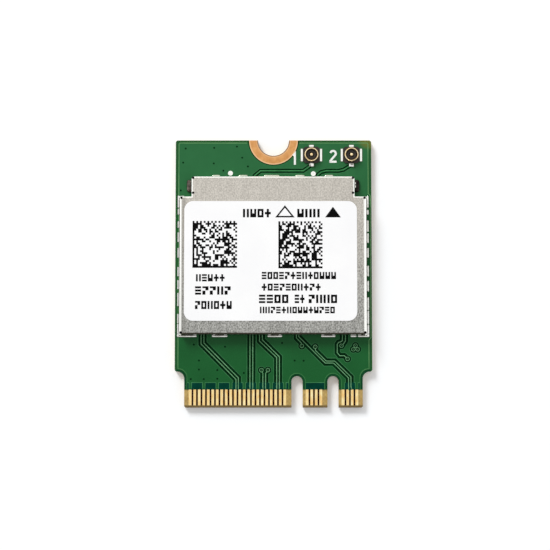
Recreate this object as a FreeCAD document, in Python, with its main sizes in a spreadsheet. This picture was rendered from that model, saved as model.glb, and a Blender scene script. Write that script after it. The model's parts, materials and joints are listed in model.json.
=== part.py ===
import FreeCAD, Part
import math
import os
import Sketcher
from FreeCAD import Placement, Rotation, Vector

# Laptop wireless card of the 22 x 30 mm size, keyed A and E, with two antenna jacks and one shield.
# X runs across the card, Y from the contact edge to the screw end, Z up out of the component face.
# The origin is the middle of the card's plan, on its lowest surface. All sizes are millimetres.

SIZES = {
    "board_width": 22.0,
    "board_length": 30.0,
    "laminate_low": 0.055,
    "laminate_high": 0.745,
    "board_top": 0.80,
    "foil": 0.025,
    "groove": 0.02,
    "corner_radius": 0.25,
    "tongue_width": 19.85,
    "tongue_length": 4.0,
    "tongue_corner": 0.2,
    "shoulder_radius": 0.8,
    "key_x": 2.625,
    "key_spacing": 4.0,
    "key_width": 1.25,
    "key_depth": 3.5,
    "bevel_length": 0.25,
    "bevel_depth": 0.12,
    "screw_radius": 1.75,
    "ring_radius": 2.75,
    "first_pin_x": 9.25,
    "pin_step": 0.25,
    "finger_width": 0.35,
    "finger_end": 0.25,
    "finger_length": 1.75,
    "finger_thick": 0.04,
    "rim": 0.32,
    "pour_end": 2.75,
    "mask_end": 2.0,
    "shield_x": -0.05,
    "shield_half_wide": 10.4,
    "shield_half_narrow": 9.11,
    "shield_south": -6.9,
    "shield_step": 8.5,
    "shield_north": 10.75,
    "shield_sheet": 0.15,
    "lid_top": 2.10,
    "lid_foot": 0.90,
    "lid_bend": 0.20,
    "lid_corner": 0.25,
    "relief_inset": 0.19,
    "relief_radius": 0.12,
    "relief_depth": 0.45,
    "seam": 0.05,
    "snap_gap": 0.05,
    "snap_level": 1.42,
    "snap_radius": 0.30,
    "snap_depth": 0.12,
    "snap_tip": 0.15,
    "dent_radius": 0.24,
    "dent_tip": 0.10,
    "snap_window": 0.34,
    "flange": 0.50,
    "bridge_width": 1.4,
    "foot_gap": 0.20,
    "land_inside": 0.42,
    "land_outside": 0.39,
    "land_south": 0.28,
    "land_north": 0.33,
    "fillet_height": 0.08,
    "fillet_reach": 0.36,
    "fillet_tip": 0.02,
    "fillet_taper": 0.08,
    "lug_reach": 0.58,
    "lug_length": 1.40,
    "lug_height": 0.42,
    "lug_land_inset": 0.10,
    "lug_land_tail": 0.30,
    "lug_y": 9.80,
    "label_x": -0.32,
    "label_y": 1.25,
    "label_width": 19.22,
    "label_length": 13.36,
    "label_thick": 0.10,
    "label_corner": 1.0,
    "jack_1_x": 4.27,
    "jack_2_x": 8.77,
    "jack_y": 13.33,
    "jack_body": 1.84,
    "jack_body_top": 0.98,
    "jack_chamfer": 0.22,
    "jack_ring_radius": 0.77,
    "jack_ring_bore": 0.61,
    "jack_ring_top": 1.45,
    "jack_groove_depth": 0.05,
    "jack_groove_low": 1.12,
    "jack_groove_floor": 1.19,
    "jack_groove_high": 1.27,
    "jack_ring_shoulder": 1.40,
    "jack_sheet": 0.08,
    "jack_collar_radius": 0.50,
    "jack_collar_bore": 0.30,
    "jack_collar_top": 1.18,
    "jack_floor": 0.94,
    "jack_pin_radius": 0.20,
    "jack_pin_top": 1.36,
    "jack_pin_shoulder": 1.27,
    "jack_pin_crown": 1.34,
    "jack_tab_reach": 1.19,
    "jack_tab_half": 0.70,
    "jack_end_reach": 1.14,
    "jack_end_half": 0.25,
    "jack_signal_reach": 1.30,
    "jack_signal_start": 0.97,
    "jack_lead_half": 0.12,
    "jack_lead_gap": 0.10,
    "jack_land_margin": 0.05,
    "land_top": 0.81,
    "chip_side": 8.0,
    "chip_height": 0.78,
    "chip_pitch": 0.65,
    "chip_lead_width": 0.30,
    "chip_lead_length": 0.50,
    "chip_lead_inset": 0.20,
    "chip_heat_pad": 5.2,
    "chip_mark": 0.30,
    "mark_depth": 0.04,
    "front_end_side": 3.0,
    "front_end_height": 0.65,
    "front_end_mark": 0.18,
    "flash_width": 3.0,
    "flash_length": 2.0,
    "flash_height": 0.55,
    "crystal_width": 2.5,
    "crystal_length": 2.0,
    "crystal_tray": 0.35,
    "crystal_height": 0.55,
    "crystal_rim": 0.15,
    "inductor_width": 2.5,
    "inductor_length": 2.0,
    "inductor_height": 0.90,
    "inductor_cut": 0.25,
    "diplexer_width": 2.0,
    "diplexer_length": 1.2,
    "diplexer_height": 0.60,
    "capacitor_step": 0.85,
    "capacitor_length": 1.0,
    "capacitor_width": 0.50,
    "capacitor_height": 0.50,
    "capacitor_cap": 0.25,
    "resistor_step": 0.60,
    "resistor_length": 0.60,
    "resistor_width": 0.30,
    "resistor_height": 0.25,
    "resistor_cap": 0.15,
    "passive_land_spare": 0.10,
    "signal_half": 0.07,
    "signal_clear": 0.29,
    "antenna_half": 0.08,
    "antenna_clear": 0.23,
    "via_radius": 0.21,
    "via_clear": 0.41,
    "via_pit": 0.09,
    "test_radius": 0.5,
    "test_clear": 0.75,
}

doc = FreeCAD.newDocument("wireless_card")
sheet = doc.addObject("Spreadsheet::Sheet", "Sizes")
for row, (alias, number) in enumerate(SIZES.items(), start=1):
    sheet.set(f"A{row}", alias)
    sheet.set(f"B{row}", str(number))
    sheet.setAlias(f"B{row}", alias)
doc.recompute()

NODES = {}


def size(alias):
    """One number of the sheet, for the shapes that are set directly."""
    return float(sheet.get(alias))


def value(formula):
    """What a formula over the sheet comes to."""
    return float(sheet.evalExpression(str(formula)))


def bind(item, formulas):
    """Tie properties of an object to formulas over the sheet."""
    for name, formula in formulas.items():
        item.setExpression(name, str(formula))
    return item


def at(x, y, z="0"):
    """The formulas that place an object."""
    return {"Placement.Base.x": x, "Placement.Base.y": y, "Placement.Base.z": z}


def keep(label, item):
    """Name an object as one sub-part of the card."""
    item.Label = label
    NODES[label] = item
    return item


def box(name, low, high):
    """A block between two corners, each three formulas."""
    block = doc.addObject("Part::Box", name)
    bind(block, at(*low))
    spans = [f"({top}) - ({bottom})" for bottom, top in zip(low, high)]
    return bind(block, dict(zip(("Length", "Width", "Height"), spans)))


def cylinder(name, radius, place, height, turn=None):
    """A round bar or disc standing on its place."""
    bar = doc.addObject("Part::Cylinder", name)
    if turn:
        bar.Placement = Placement(Vector(), turn)
    return bind(bar, {"Radius": radius, "Height": height, **at(*place)})


def cone(name, foot, tip, height, place, turn):
    """A short cone frustum that points along the turned Z axis."""
    frustum = doc.addObject("Part::Cone", name)
    frustum.Placement = Placement(Vector(), turn)
    return bind(frustum, {"Radius1": foot, "Radius2": tip, "Height": height, **at(*place)})


def cut(name, base, tool):
    """One object with another taken out of it."""
    result = doc.addObject("Part::Cut", name)
    result.Base = base
    result.Tool = tool
    return result


def fused(name, members):
    """Several objects grown together."""
    result = doc.addObject("Part::MultiFuse", name)
    result.Shapes = members
    result.Refine = True
    return result


def grouped(name, members):
    """Several separate solids kept as one object."""
    result = doc.addObject("Part::Compound", name)
    result.Links = members
    return result


def new_body(name, x=None, y=None):
    """An empty body, moved to its place on the card."""
    body = doc.addObject("PartDesign::Body", name)
    if x:
        bind(body, at(x, y))
    return body


def new_sketch(body, name, role="XY_Plane", level=None):
    """A sketch on one of the body's own origin planes, lifted to a level."""
    sketch = body.newObject("Sketcher::SketchObject", name)
    plane = next(item for item in body.Origin.OriginFeatures if item.Role == role)
    sketch.AttachmentSupport = (plane, [""])
    sketch.MapMode = "FlatFace"
    if level:
        sketch.setExpression("AttachmentOffset.Base.z", level)
    return sketch


def fix_point(sketch, geometry, end, x=None, y=None):
    """Measure one point of a sketch from its origin by formulas."""
    for kind, formula in (("DistanceX", x), ("DistanceY", y)):
        if formula is not None:
            number = value(formula)
            index = sketch.addConstraint(Sketcher.Constraint(kind, -1, 1, geometry, end, number))
            sketch.setExpression(f"Constraints[{index}]", formula)


def outline(sketch, corners):
    """A closed outline of straight lines through corners given as pairs of formulas."""
    points = [Vector(value(x), value(y), 0) for x, y in corners]
    first = sketch.GeometryCount
    count = len(points)
    for index in range(count):
        sketch.addGeometry(Part.LineSegment(points[index], points[(index + 1) % count]), False)
    for index in range(count):
        following = first + (index + 1) % count
        sketch.addConstraint(Sketcher.Constraint("Coincident", first + index, 2, following, 1))
    for index, (x, y) in enumerate(corners):
        fix_point(sketch, first + index, 1, x, y)


def circle(sketch, x, y, radius):
    """A circle whose centre and radius follow formulas."""
    centre = Vector(value(x), value(y), 0)
    index = sketch.addGeometry(Part.Circle(centre, Vector(0, 0, 1), value(radius)), False)
    fix_point(sketch, index, 3, x, y)
    girth = sketch.addConstraint(Sketcher.Constraint("Radius", index, value(radius)))
    sketch.setExpression(f"Constraints[{girth}]", radius)


def slot_end(sketch, x, low, tip, width):
    """A slot outline, open end square and inner end round."""
    left = value(f"{x} - {width} / 2")
    right = value(f"{x} + {width} / 2")
    foot = value(low)
    shoulder = value(f"{tip} - {width} / 2")
    corners = [Vector(left, foot, 0), Vector(right, foot, 0), Vector(right, shoulder, 0),
               Vector(left, shoulder, 0)]
    arch = Part.Arc(corners[2], Vector(value(x), value(tip), 0), corners[3])
    sketch.addGeometry(Part.LineSegment(corners[0], corners[1]), False)
    sketch.addGeometry(Part.LineSegment(corners[1], corners[2]), False)
    sketch.addGeometry(arch, False)
    sketch.addGeometry(Part.LineSegment(corners[3], corners[0]), False)
    for before, end, after, start in ((0, 2, 1, 1), (1, 2, 2, 1), (2, 2, 3, 1), (3, 2, 0, 1)):
        sketch.addConstraint(Sketcher.Constraint("Coincident", before, end, after, start))
    fix_point(sketch, 0, 1, f"{x} - {width} / 2", low)
    fix_point(sketch, 0, 2, f"{x} + {width} / 2", low)
    fix_point(sketch, 1, 2, f"{x} + {width} / 2", f"{tip} - {width} / 2")
    fix_point(sketch, 3, 1, f"{x} - {width} / 2", f"{tip} - {width} / 2")
    fix_point(sketch, 2, 3, None, f"{tip} - {width} / 2")


def sketched(body, kind, sketch, length, upward=None):
    """A pad or pocket of a sketch; a pocket cuts downwards unless it is told otherwise."""
    feature = body.newObject(f"PartDesign::{kind}", f"{sketch.Name}_{kind.lower()}")
    feature.Profile = sketch
    feature.setExpression("Length", length)
    if upward:
        feature.Reversed = True
    body.Tip = feature
    return feature


def turned(body, sketch):
    """A revolution of a sketch about its own vertical axis."""
    feature = body.newObject("PartDesign::Revolution", f"{sketch.Name}_turn")
    feature.Profile = sketch
    feature.ReferenceAxis = (sketch, ["V_Axis"])
    feature.Angle = 360
    body.Tip = feature
    return feature


def rounded(body, name, edges, radius):
    """A fillet on edges of the body's last feature."""
    base = body.Tip
    feature = body.newObject("PartDesign::Fillet", name)
    feature.Base = (base, edges)
    feature.setExpression("Radius", radius)
    body.Tip = feature
    return feature


def level_edges(shape, level):
    """Names of the edges that lie flat at one height."""
    return [f"Edge{index}" for index, edge in enumerate(shape.Edges, start=1)
            if abs(edge.BoundBox.ZMin - level) < 1e-6 and abs(edge.BoundBox.ZMax - level) < 1e-6]


def upright_edges(shape, places):
    """Names of the straight upright edges that stand at given places."""
    names = []
    for index, edge in enumerate(shape.Edges, start=1):
        bounds = edge.BoundBox
        for x, y in places:
            near = abs(bounds.XMin - x) < 1e-4 and abs(bounds.YMin - y) < 1e-4
            if near and bounds.XLength < 1e-4 and bounds.YLength < 1e-4:
                names.append(f"Edge{index}")
    return names


EDGE = "-Sizes.board_length / 2"
HALF_WIDTH = "Sizes.board_width / 2"
HALF_LENGTH = "Sizes.board_length / 2"
HALF_TONGUE = "Sizes.tongue_width / 2"
SHOULDER = "Sizes.tongue_length - Sizes.board_length / 2"


def board_outline():
    """The card's corners: tongue, shoulders and screw end."""
    return [(f"-{HALF_TONGUE}", EDGE), (HALF_TONGUE, EDGE), (HALF_TONGUE, SHOULDER),
            (HALF_WIDTH, SHOULDER), (HALF_WIDTH, HALF_LENGTH), (f"-{HALF_WIDTH}", HALF_LENGTH),
            (f"-{HALF_WIDTH}", SHOULDER), (f"-{HALF_TONGUE}", SHOULDER)]


def build_board():
    """The laminate: keyed tongue with bevelled edge, round shoulders and the screw's half-hole."""
    body = new_body("circuit_board_body")
    sketch = new_sketch(body, "board_plan", level="Sizes.laminate_low")
    outline(sketch, board_outline())
    sketched(body, "Pad", sketch, "Sizes.laminate_high - Sizes.laminate_low")
    doc.recompute()
    half, tongue = size("board_width") / 2, size("tongue_width") / 2
    end, shoulder = size("board_length") / 2, value(SHOULDER)
    groups = (
        ("tongue_corners", [(-tongue, -end), (tongue, -end)], "Sizes.tongue_corner"),
        ("shoulder_bends", [(-tongue, shoulder), (tongue, shoulder)], "Sizes.shoulder_radius"),
        ("outer_corners", [(x, y) for x in (-half, half) for y in (shoulder, end)],
         "Sizes.corner_radius"),
    )
    for name, places, radius in groups:
        rounded(body, name, upright_edges(body.Tip.Shape, places), radius)
        doc.recompute()
    key = new_sketch(body, "key_notch", level="Sizes.board_top")
    slot_end(key, "Sizes.key_x", f"{EDGE} - 1", f"{EDGE} + Sizes.key_depth", "Sizes.key_width")
    notch = sketched(body, "Pocket", key, "Sizes.board_top")
    pattern = body.newObject("PartDesign::LinearPattern", "key_notches")
    pattern.Originals = [notch]
    pattern.Direction = (key, ["H_Axis"])
    pattern.Occurrences = 2
    pattern.setExpression("Length", "Sizes.key_spacing")
    body.Tip = pattern
    hole = new_sketch(body, "screw_half_hole", level="Sizes.board_top")
    circle(hole, "0", HALF_LENGTH, "Sizes.screw_radius")
    sketched(body, "Pocket", hole, "Sizes.board_top")
    bevel = new_sketch(body, "edge_bevel", role="YZ_Plane")
    for face, depth in (("Sizes.laminate_high", "-"), ("Sizes.laminate_low", "+")):
        outline(bevel, [(f"{EDGE} - 0.01", face), (f"{EDGE} + Sizes.bevel_length", face),
                        (f"{EDGE} - 0.01", f"{face} {depth} Sizes.bevel_depth")])
    slope = sketched(body, "Pocket", bevel, "Sizes.board_width")
    slope.Midplane = True
    return keep("circuit_board", body)


def finger_x(pin):
    """Middle of a contact finger by its pin number."""
    return f"Sizes.first_pin_x - {pin - 1} * Sizes.pin_step"


TOP_PINS = [1, 3, 5, 7, 17, 19, 21, 23] + list(range(33, 76, 2))
BOTTOM_PINS = [2, 4, 6, 16, 18, 20, 22] + list(range(32, 75, 2))
GROUND_PINS = [1, 7, 33, 39, 45, 51, 57, 63, 69, 75]


def build_fingers(label, pins, low, high):
    """Gold contact fingers on one face of the tongue."""
    fingers = []
    start = f"{EDGE} + Sizes.finger_end"
    for pin in pins:
        middle = finger_x(pin)
        fingers.append(box(f"finger_{pin}", (f"{middle} - Sizes.finger_width / 2", start, low),
                           (f"{middle} + Sizes.finger_width / 2",
                            f"{start} + Sizes.finger_length", high)))
    return keep(label, grouped(label, fingers))


def build_screw_pad(label, low, high):
    """The copper half-ring round the screw's half-hole."""
    turn = Rotation(Vector(0, 0, 1), 180)
    thick = f"({high}) - ({low})"
    disc = cylinder(f"{label}_disc", "Sizes.ring_radius", ("0", HALF_LENGTH, low), thick, turn)
    disc.Angle = 180
    bore = cylinder(f"{label}_bore", "Sizes.screw_radius", ("0", HALF_LENGTH, low), thick)
    return keep(label, cut(label, disc, bore))


def tee(inset):
    """Corners of the shield's T-shaped plan, drawn in by an inset."""
    wide = f"(Sizes.shield_half_wide - ({inset}))"
    narrow = f"(Sizes.shield_half_narrow - ({inset}))"
    south = f"Sizes.shield_south + ({inset})"
    step = f"Sizes.shield_step - ({inset})"
    north = f"Sizes.shield_north - ({inset})"
    return [(f"-{wide}", south), (wide, south), (wide, step), (narrow, step), (narrow, north),
            (f"-{narrow}", north), (f"-{narrow}", step), (f"-{wide}", step)]


OUTER_CORNERS = (0, 1, 2, 4, 5, 7)


def corner_places(inset):
    """The six outer corners of the T, as numbers."""
    corners = [(value(x), value(y)) for x, y in tee(inset)]
    return [corners[index] for index in OUTER_CORNERS]


SNAPS = {"east": [-3.4, 4.6], "west": [-3.4, 4.6], "north": [-5.0, 5.0], "south": [-4.6, 4.6]}


def snap_axis(side, along, depth):
    """Place and direction of a snap on one wall, at a depth inwards from its outer face."""
    reach = f"Sizes.shield_half_wide - ({depth})"
    level = "Sizes.snap_level"
    centre = "Sizes.shield_x"
    if side == "east":
        return (f"{centre} + {reach}", along, level), Rotation(Vector(0, 1, 0), -90)
    if side == "west":
        return (f"{centre} - ({reach})", along, level), Rotation(Vector(0, 1, 0), 90)
    if side == "north":
        return (along, f"Sizes.shield_north - ({depth})", level), Rotation(Vector(1, 0, 0), 90)
    return (along, f"Sizes.shield_south + ({depth})", level), Rotation(Vector(1, 0, 0), -90)


def build_lid():
    """The folded cover: bent edges, corner reliefs with seams, and snaps pressed into its walls."""
    body = new_body("shield_lid_body", "Sizes.shield_x", "0")
    plan = new_sketch(body, "lid_plan", level="Sizes.lid_foot")
    outline(plan, tee("0"))
    sketched(body, "Pad", plan, "Sizes.lid_top - Sizes.lid_foot")
    doc.recompute()
    rounded(body, "lid_corners", upright_edges(body.Tip.Shape, corner_places("0")),
            "Sizes.lid_corner")
    doc.recompute()
    rounded(body, "lid_bends", level_edges(body.Tip.Shape, size("lid_top")), "Sizes.lid_bend")
    doc.recompute()
    hollow = new_sketch(body, "lid_hollow", level="Sizes.lid_foot")
    outline(hollow, tee("Sizes.shield_sheet"))
    sketched(body, "Pocket", hollow, "Sizes.lid_top - Sizes.lid_foot - Sizes.shield_sheet", True)
    reliefs = new_sketch(body, "corner_reliefs", level="Sizes.lid_top")
    seams = new_sketch(body, "corner_seams", level="Sizes.lid_top")
    corners = tee("Sizes.relief_inset")
    for index in OUTER_CORNERS:
        x, y = corners[index]
        circle(reliefs, x, y, "Sizes.relief_radius")
        outward = "-" if index in (0, 1) else "+"
        outline(seams, [(f"{x} - Sizes.seam / 2", y), (f"{x} + Sizes.seam / 2", y),
                        (f"{x} + Sizes.seam / 2", f"{y} {outward} 1"),
                        (f"{x} - Sizes.seam / 2", f"{y} {outward} 1")])
    for index, inward in ((3, "-"), (6, "+")):
        x, y = tee("0")[index]
        circle(reliefs, f"{x} {inward} Sizes.relief_inset", f"{y} + 2 * Sizes.relief_inset",
               "Sizes.relief_radius")
    sketched(body, "Pocket", reliefs, "Sizes.relief_depth")
    sketched(body, "Pocket", seams, "Sizes.lid_top - Sizes.lid_foot")
    bumps, dents = [], []
    for side, places in SNAPS.items():
        for index, along in enumerate(places):
            place, turn = snap_axis(side, along, "Sizes.shield_sheet")
            bumps.append(cone(f"bump_{side}_{index}", "Sizes.snap_radius", "Sizes.snap_tip",
                              "Sizes.snap_depth", place, turn))
            place, turn = snap_axis(side, along, "0")
            dents.append(cone(f"dent_{side}_{index}", "Sizes.dent_radius", "Sizes.dent_tip",
                              "Sizes.snap_depth", place, turn))
    whole = fused("lid_with_bumps", [body] + bumps)
    return keep("shield_lid", cut("shield_lid", whole, grouped("lid_dents", dents)))


FOOT_GAPS_SIDE = [(5.95, 6.55), (2.85, 3.35), (0.85, 1.70)]
FOOT_GAPS_SOUTH = [(-8.45, -7.35), (-3.00, -0.90), (2.20, 3.20), (7.30, 8.40)]
FOOT_GAPS_NORTH = [(-2.50, -1.70), (4.60, 5.30)]


def build_fence():
    """The soldered frame: walls, top flange, pick-up bridge, snap windows and foot gaps."""
    body = new_body("shield_fence_body", "Sizes.shield_x", "0")
    outside = "Sizes.shield_sheet + Sizes.snap_gap"
    inside = "2 * Sizes.shield_sheet + Sizes.snap_gap"
    roof = "Sizes.lid_top - Sizes.shield_sheet"
    plan = new_sketch(body, "fence_plan", level="Sizes.board_top")
    outline(plan, tee(outside))
    sketched(body, "Pad", plan, f"{roof} - Sizes.board_top")
    hollow = new_sketch(body, "fence_hollow", level="Sizes.board_top")
    outline(hollow, tee(inside))
    sketched(body, "Pocket", hollow, f"{roof} - Sizes.shield_sheet - Sizes.board_top", True)
    mouth = new_sketch(body, "fence_opening", level=roof)
    outline(mouth, tee(f"{inside} + Sizes.flange"))
    sketched(body, "Pocket", mouth, "Sizes.shield_sheet * 2")
    bridge = new_sketch(body, "fence_bridge", level=f"{roof} - Sizes.shield_sheet")
    south, north = f"Sizes.shield_south + {inside}", f"Sizes.shield_north - ({inside})"
    outline(bridge, [("-Sizes.bridge_width / 2", south), ("Sizes.bridge_width / 2", south),
                     ("Sizes.bridge_width / 2", north), ("-Sizes.bridge_width / 2", north)])
    sketched(body, "Pad", bridge, "Sizes.shield_sheet")
    tools = []
    low, high = "Sizes.board_top", "Sizes.board_top + Sizes.foot_gap"
    wide = "Sizes.shield_half_wide"
    for index, (start, end) in enumerate(FOOT_GAPS_SIDE):
        tools.append(box(f"side_gap_{index}", (f"-{wide} - 1", start, low),
                         (f"{wide} + 1", end, high)))
    for index, (start, end) in enumerate(FOOT_GAPS_SOUTH):
        tools.append(box(f"south_gap_{index}", (start, "Sizes.shield_south", low),
                         (end, "Sizes.shield_south + 1", high)))
    for index, (start, end) in enumerate(FOOT_GAPS_NORTH):
        tools.append(box(f"north_gap_{index}", (start, "Sizes.shield_north - 1", low),
                         (end, "Sizes.shield_north", high)))
    for side, places in SNAPS.items():
        for index, along in enumerate(places):
            place, turn = snap_axis(side, along, "Sizes.shield_sheet")
            tools.append(cylinder(f"snap_window_{side}_{index}", "Sizes.snap_window", place,
                                  "2 * Sizes.shield_sheet", turn))
    return keep("shield_fence", cut("shield_fence", body, grouped("fence_gaps", tools)))


WEST_TIN = [(7.40, 8.70), (6.60, 7.20), (5.10, 5.80), (3.50, 4.55), (1.75, 2.80), (-0.35, 0.65),
            (-1.80, -0.82), (-3.70, -2.25), (-5.60, -4.60), (-7.10, -5.70)]
EAST_TIN = [(7.40, 8.65), (6.60, 7.10), (4.65, 5.90), (3.40, 4.45), (1.75, 2.80), (-0.35, 0.80),
            (-2.05, -0.90), (-4.15, -2.75), (-5.70, -4.25), (-7.10, -5.80)]
SOUTH_TIN = [(-10.84, -8.62), (-6.82, -5.20), (-0.60, 0.90), (5.36, 6.86), (8.65, 9.20),
             (9.45, 10.74)]
NORTH_TIN = [(-6.80, -6.05), (-3.85, -2.95), (-1.00, 0.62), (2.52, 3.45), (5.80, 6.66)]

mask_windows = []
foil_windows = []
signal_lands = []


def tin_strip(name, low, high, wall, toward):
    """A tinned land with a flat solder fillet that rises to the fence's foot at the wall line."""
    foil_top = "Sizes.laminate_high + Sizes.foil"
    land = box(f"{name}_land", (*low, foil_top), (*high, "Sizes.board_top"))
    mask_windows.append([value(item) for item in (*low, *high)])
    wedge = doc.addObject("Part::Wedge", f"{name}_fillet")
    wedge.Placement = Placement(Vector(), Rotation(Vector(1, 0, 0), 90))
    reach, slim, taper = "Sizes.fillet_reach", "Sizes.fillet_tip", "Sizes.fillet_taper"
    spans = {"X": [low[0], high[0]], "Y": [low[1], high[1]]}
    tips = {name: [f"{start} + {taper}", f"{end} - {taper}"] for name, (start, end) in spans.items()}
    axis = "X" if toward in ("east", "west") else "Y"
    if toward in ("east", "north"):
        spans[axis] = [wall, f"{wall} + {reach}"]
        tips[axis] = [wall, f"{wall} + {slim}"]
    else:
        spans[axis] = [f"{wall} - {reach}", wall]
        tips[axis] = [f"{wall} - {slim}", wall]
    bind(wedge, {
        "Xmin": spans["X"][0], "Xmax": spans["X"][1], "X2min": tips["X"][0], "X2max": tips["X"][1],
        "Zmin": f"-({spans['Y'][1]})", "Zmax": f"-({spans['Y'][0]})",
        "Z2min": f"-({tips['Y'][1]})", "Z2max": f"-({tips['Y'][0]})",
        "Ymin": "Sizes.board_top", "Ymax": "Sizes.board_top + Sizes.fillet_height",
    })
    return [land, wedge]


def build_solder():
    """Tinned lands and fillets along the four sides of the shield."""
    strips = []
    face = "Sizes.shield_sheet + Sizes.snap_gap"
    for name, sign, spans in (("west", "-", WEST_TIN), ("east", "+", EAST_TIN)):
        wall = f"Sizes.shield_x {sign} (Sizes.shield_half_wide - {face})"
        edges = [f"Sizes.shield_x {sign} (Sizes.shield_half_wide - Sizes.land_inside)",
                 f"Sizes.shield_x {sign} (Sizes.shield_half_wide + Sizes.land_outside)"]
        left, right = edges if sign == "+" else edges[::-1]
        for index, (start, end) in enumerate(spans):
            strips += tin_strip(f"tin_{name}_{index}", (left, str(start)), (right, str(end)),
                                wall, name)
    low, high = "Sizes.shield_south - Sizes.land_south", "Sizes.shield_south + Sizes.land_inside"
    for index, (start, end) in enumerate(SOUTH_TIN):
        strips += tin_strip(f"tin_south_{index}", (str(start), low), (str(end), high),
                            f"Sizes.shield_south + {face}", "south")
    low, high = "Sizes.shield_north - Sizes.land_inside", "Sizes.shield_north + Sizes.land_north"
    for index, (start, end) in enumerate(NORTH_TIN):
        strips += tin_strip(f"tin_north_{index}", (str(start), low), (str(end), high),
                            f"Sizes.shield_north - ({face})", "north")
    return keep("shield_solder", fused("shield_solder", strips))


LUG_ROUND = 0.26


def build_lugs():
    """Rounded solder lugs that anchor the narrow end of the lid, one on each side."""
    lugs = []
    foot, roof = "Sizes.board_top", "Sizes.board_top + Sizes.lug_height"
    south, north = "Sizes.lug_y - Sizes.lug_length / 2", "Sizes.lug_y + Sizes.lug_length / 2"
    inset = "Sizes.lug_land_inset"
    for name, sign in (("west", "-"), ("east", "+")):
        wall = f"Sizes.shield_x {sign} Sizes.shield_half_narrow"
        far = f"{wall} {sign} Sizes.lug_reach"
        left, right = (wall, far) if sign == "+" else (far, wall)
        raw = box(f"lug_{name}_raw", (left, south, foot), (right, north, roof))
        doc.recompute()
        free_end = value(far)
        soft = upright_edges(raw.Shape, [(free_end, value(south)), (free_end, value(north))])
        soft += [edge for edge in level_edges(raw.Shape, value(roof))
                 if abs(raw.Shape.getElement(edge).CenterOfMass.x - value(wall)) > 1e-4]
        dome = doc.addObject("Part::Fillet", f"lug_{name}_dome")
        dome.Base = raw
        dome.Edges = [(int(edge[4:]), LUG_ROUND, LUG_ROUND) for edge in soft]
        land_far = f"{wall} {sign} (Sizes.lug_reach - {inset})"
        land_near = f"{wall} {sign} (-Sizes.lug_land_tail)"
        left, right = (land_near, land_far) if sign == "+" else (land_far, land_near)
        low, high = (left, f"{south} + {inset}"), (right, f"{north} - {inset}")
        land = box(f"lug_{name}_land", (*low, "Sizes.laminate_high + Sizes.foil"), (*high, foot))
        mask_windows.append([value(item) for item in (*low, *high)])
        lugs += [dome, land]
    return keep("shield_lugs", fused("shield_lugs", lugs))


def build_label():
    """The white label with round corners, stuck on the lid."""
    body = new_body("lid_label_body", "Sizes.label_x", "Sizes.label_y")
    plan = new_sketch(body, "label_plan", level="Sizes.lid_top")
    half, long = "Sizes.label_width / 2", "Sizes.label_length / 2"
    outline(plan, [(f"-{half}", f"-{long}"), (half, f"-{long}"), (half, long), (f"-{half}", long)])
    sketched(body, "Pad", plan, "Sizes.label_thick")
    doc.recompute()
    places = [(x * value(half), y * value(long)) for x in (-1, 1) for y in (-1, 1)]
    rounded(body, "label_corners", upright_edges(body.Tip.Shape, places), "Sizes.label_corner")
    return keep("lid_label", body)


def jack_shell(name, x):
    """The stamped ground shell: ring with a snap groove, base sheet and three solder tabs."""
    body = new_body(f"{name}_shell_body", x, "Sizes.jack_y")
    flat = new_sketch(body, f"{name}_base", level="Sizes.board_top")
    side, tab = "Sizes.jack_tab_reach", "Sizes.jack_tab_half"
    end, half = "Sizes.jack_end_reach", "Sizes.jack_end_half"
    gap = "Sizes.jack_lead_gap"
    slot = f"(Sizes.jack_lead_half + {gap})"
    outline(flat, [
        (f"-{slot}", f"-{tab}"), (f"-{slot}", f"-{gap}"), (slot, f"-{gap}"), (slot, f"-{tab}"),
        (side, f"-{tab}"), (side, tab), (half, tab), (half, end), (f"-{half}", end),
        (f"-{half}", tab), (f"-{side}", tab), (f"-{side}", f"-{tab}")])
    sketched(body, "Pad", flat, "Sizes.jack_sheet")
    bore = new_sketch(body, f"{name}_base_bore", level="Sizes.board_top + Sizes.jack_sheet")
    circle(bore, "0", "0", "Sizes.jack_ring_bore")
    sketched(body, "Pocket", bore, "2 * Sizes.jack_sheet")
    profile = new_sketch(body, f"{name}_ring", role="XZ_Plane")
    foot, top = "Sizes.board_top + Sizes.jack_sheet", "Sizes.jack_ring_top"
    inner, ring = "Sizes.jack_ring_bore", "Sizes.jack_ring_radius"
    shoulder = "Sizes.jack_ring_shoulder"
    chamfer = f"({top} - {shoulder})"
    outline(profile, [
        (inner, foot), (ring, foot), (ring, "Sizes.jack_groove_low"),
        (f"{ring} - Sizes.jack_groove_depth", "Sizes.jack_groove_floor"),
        (ring, "Sizes.jack_groove_high"), (ring, shoulder), (f"{ring} - {chamfer}", top),
        (f"{inner} + {chamfer}", top), (inner, shoulder)])
    turned(body, profile)
    return body


def jack_contact(name, x):
    """The centre pin with a domed tip, its lead and its signal tab."""
    body = new_body(f"{name}_contact_body", x, "Sizes.jack_y")
    flat = new_sketch(body, f"{name}_lead", level="Sizes.board_top")
    lead, half = "Sizes.jack_lead_half", "Sizes.jack_end_half"
    reach, start = "Sizes.jack_signal_reach", "Sizes.jack_signal_start"
    outline(flat, [(f"-{lead}", "0"), (f"-{lead}", f"-{start}"), (f"-{half}", f"-{start}"),
                   (f"-{half}", f"-{reach}"), (half, f"-{reach}"), (half, f"-{start}"),
                   (lead, f"-{start}"), (lead, "0")])
    sketched(body, "Pad", flat, "Sizes.jack_sheet")
    profile = new_sketch(body, f"{name}_pin", role="XZ_Plane")
    foot, top, radius = "Sizes.board_top", "Sizes.jack_pin_top", "Sizes.jack_pin_radius"
    outline(profile, [("0", foot), (radius, foot), (radius, "Sizes.jack_pin_shoulder"),
                      (f"{radius} * 0.75", "Sizes.jack_pin_crown"), (f"{radius} * 0.35", top),
                      ("0", top)])
    turned(body, profile)
    return body


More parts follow.
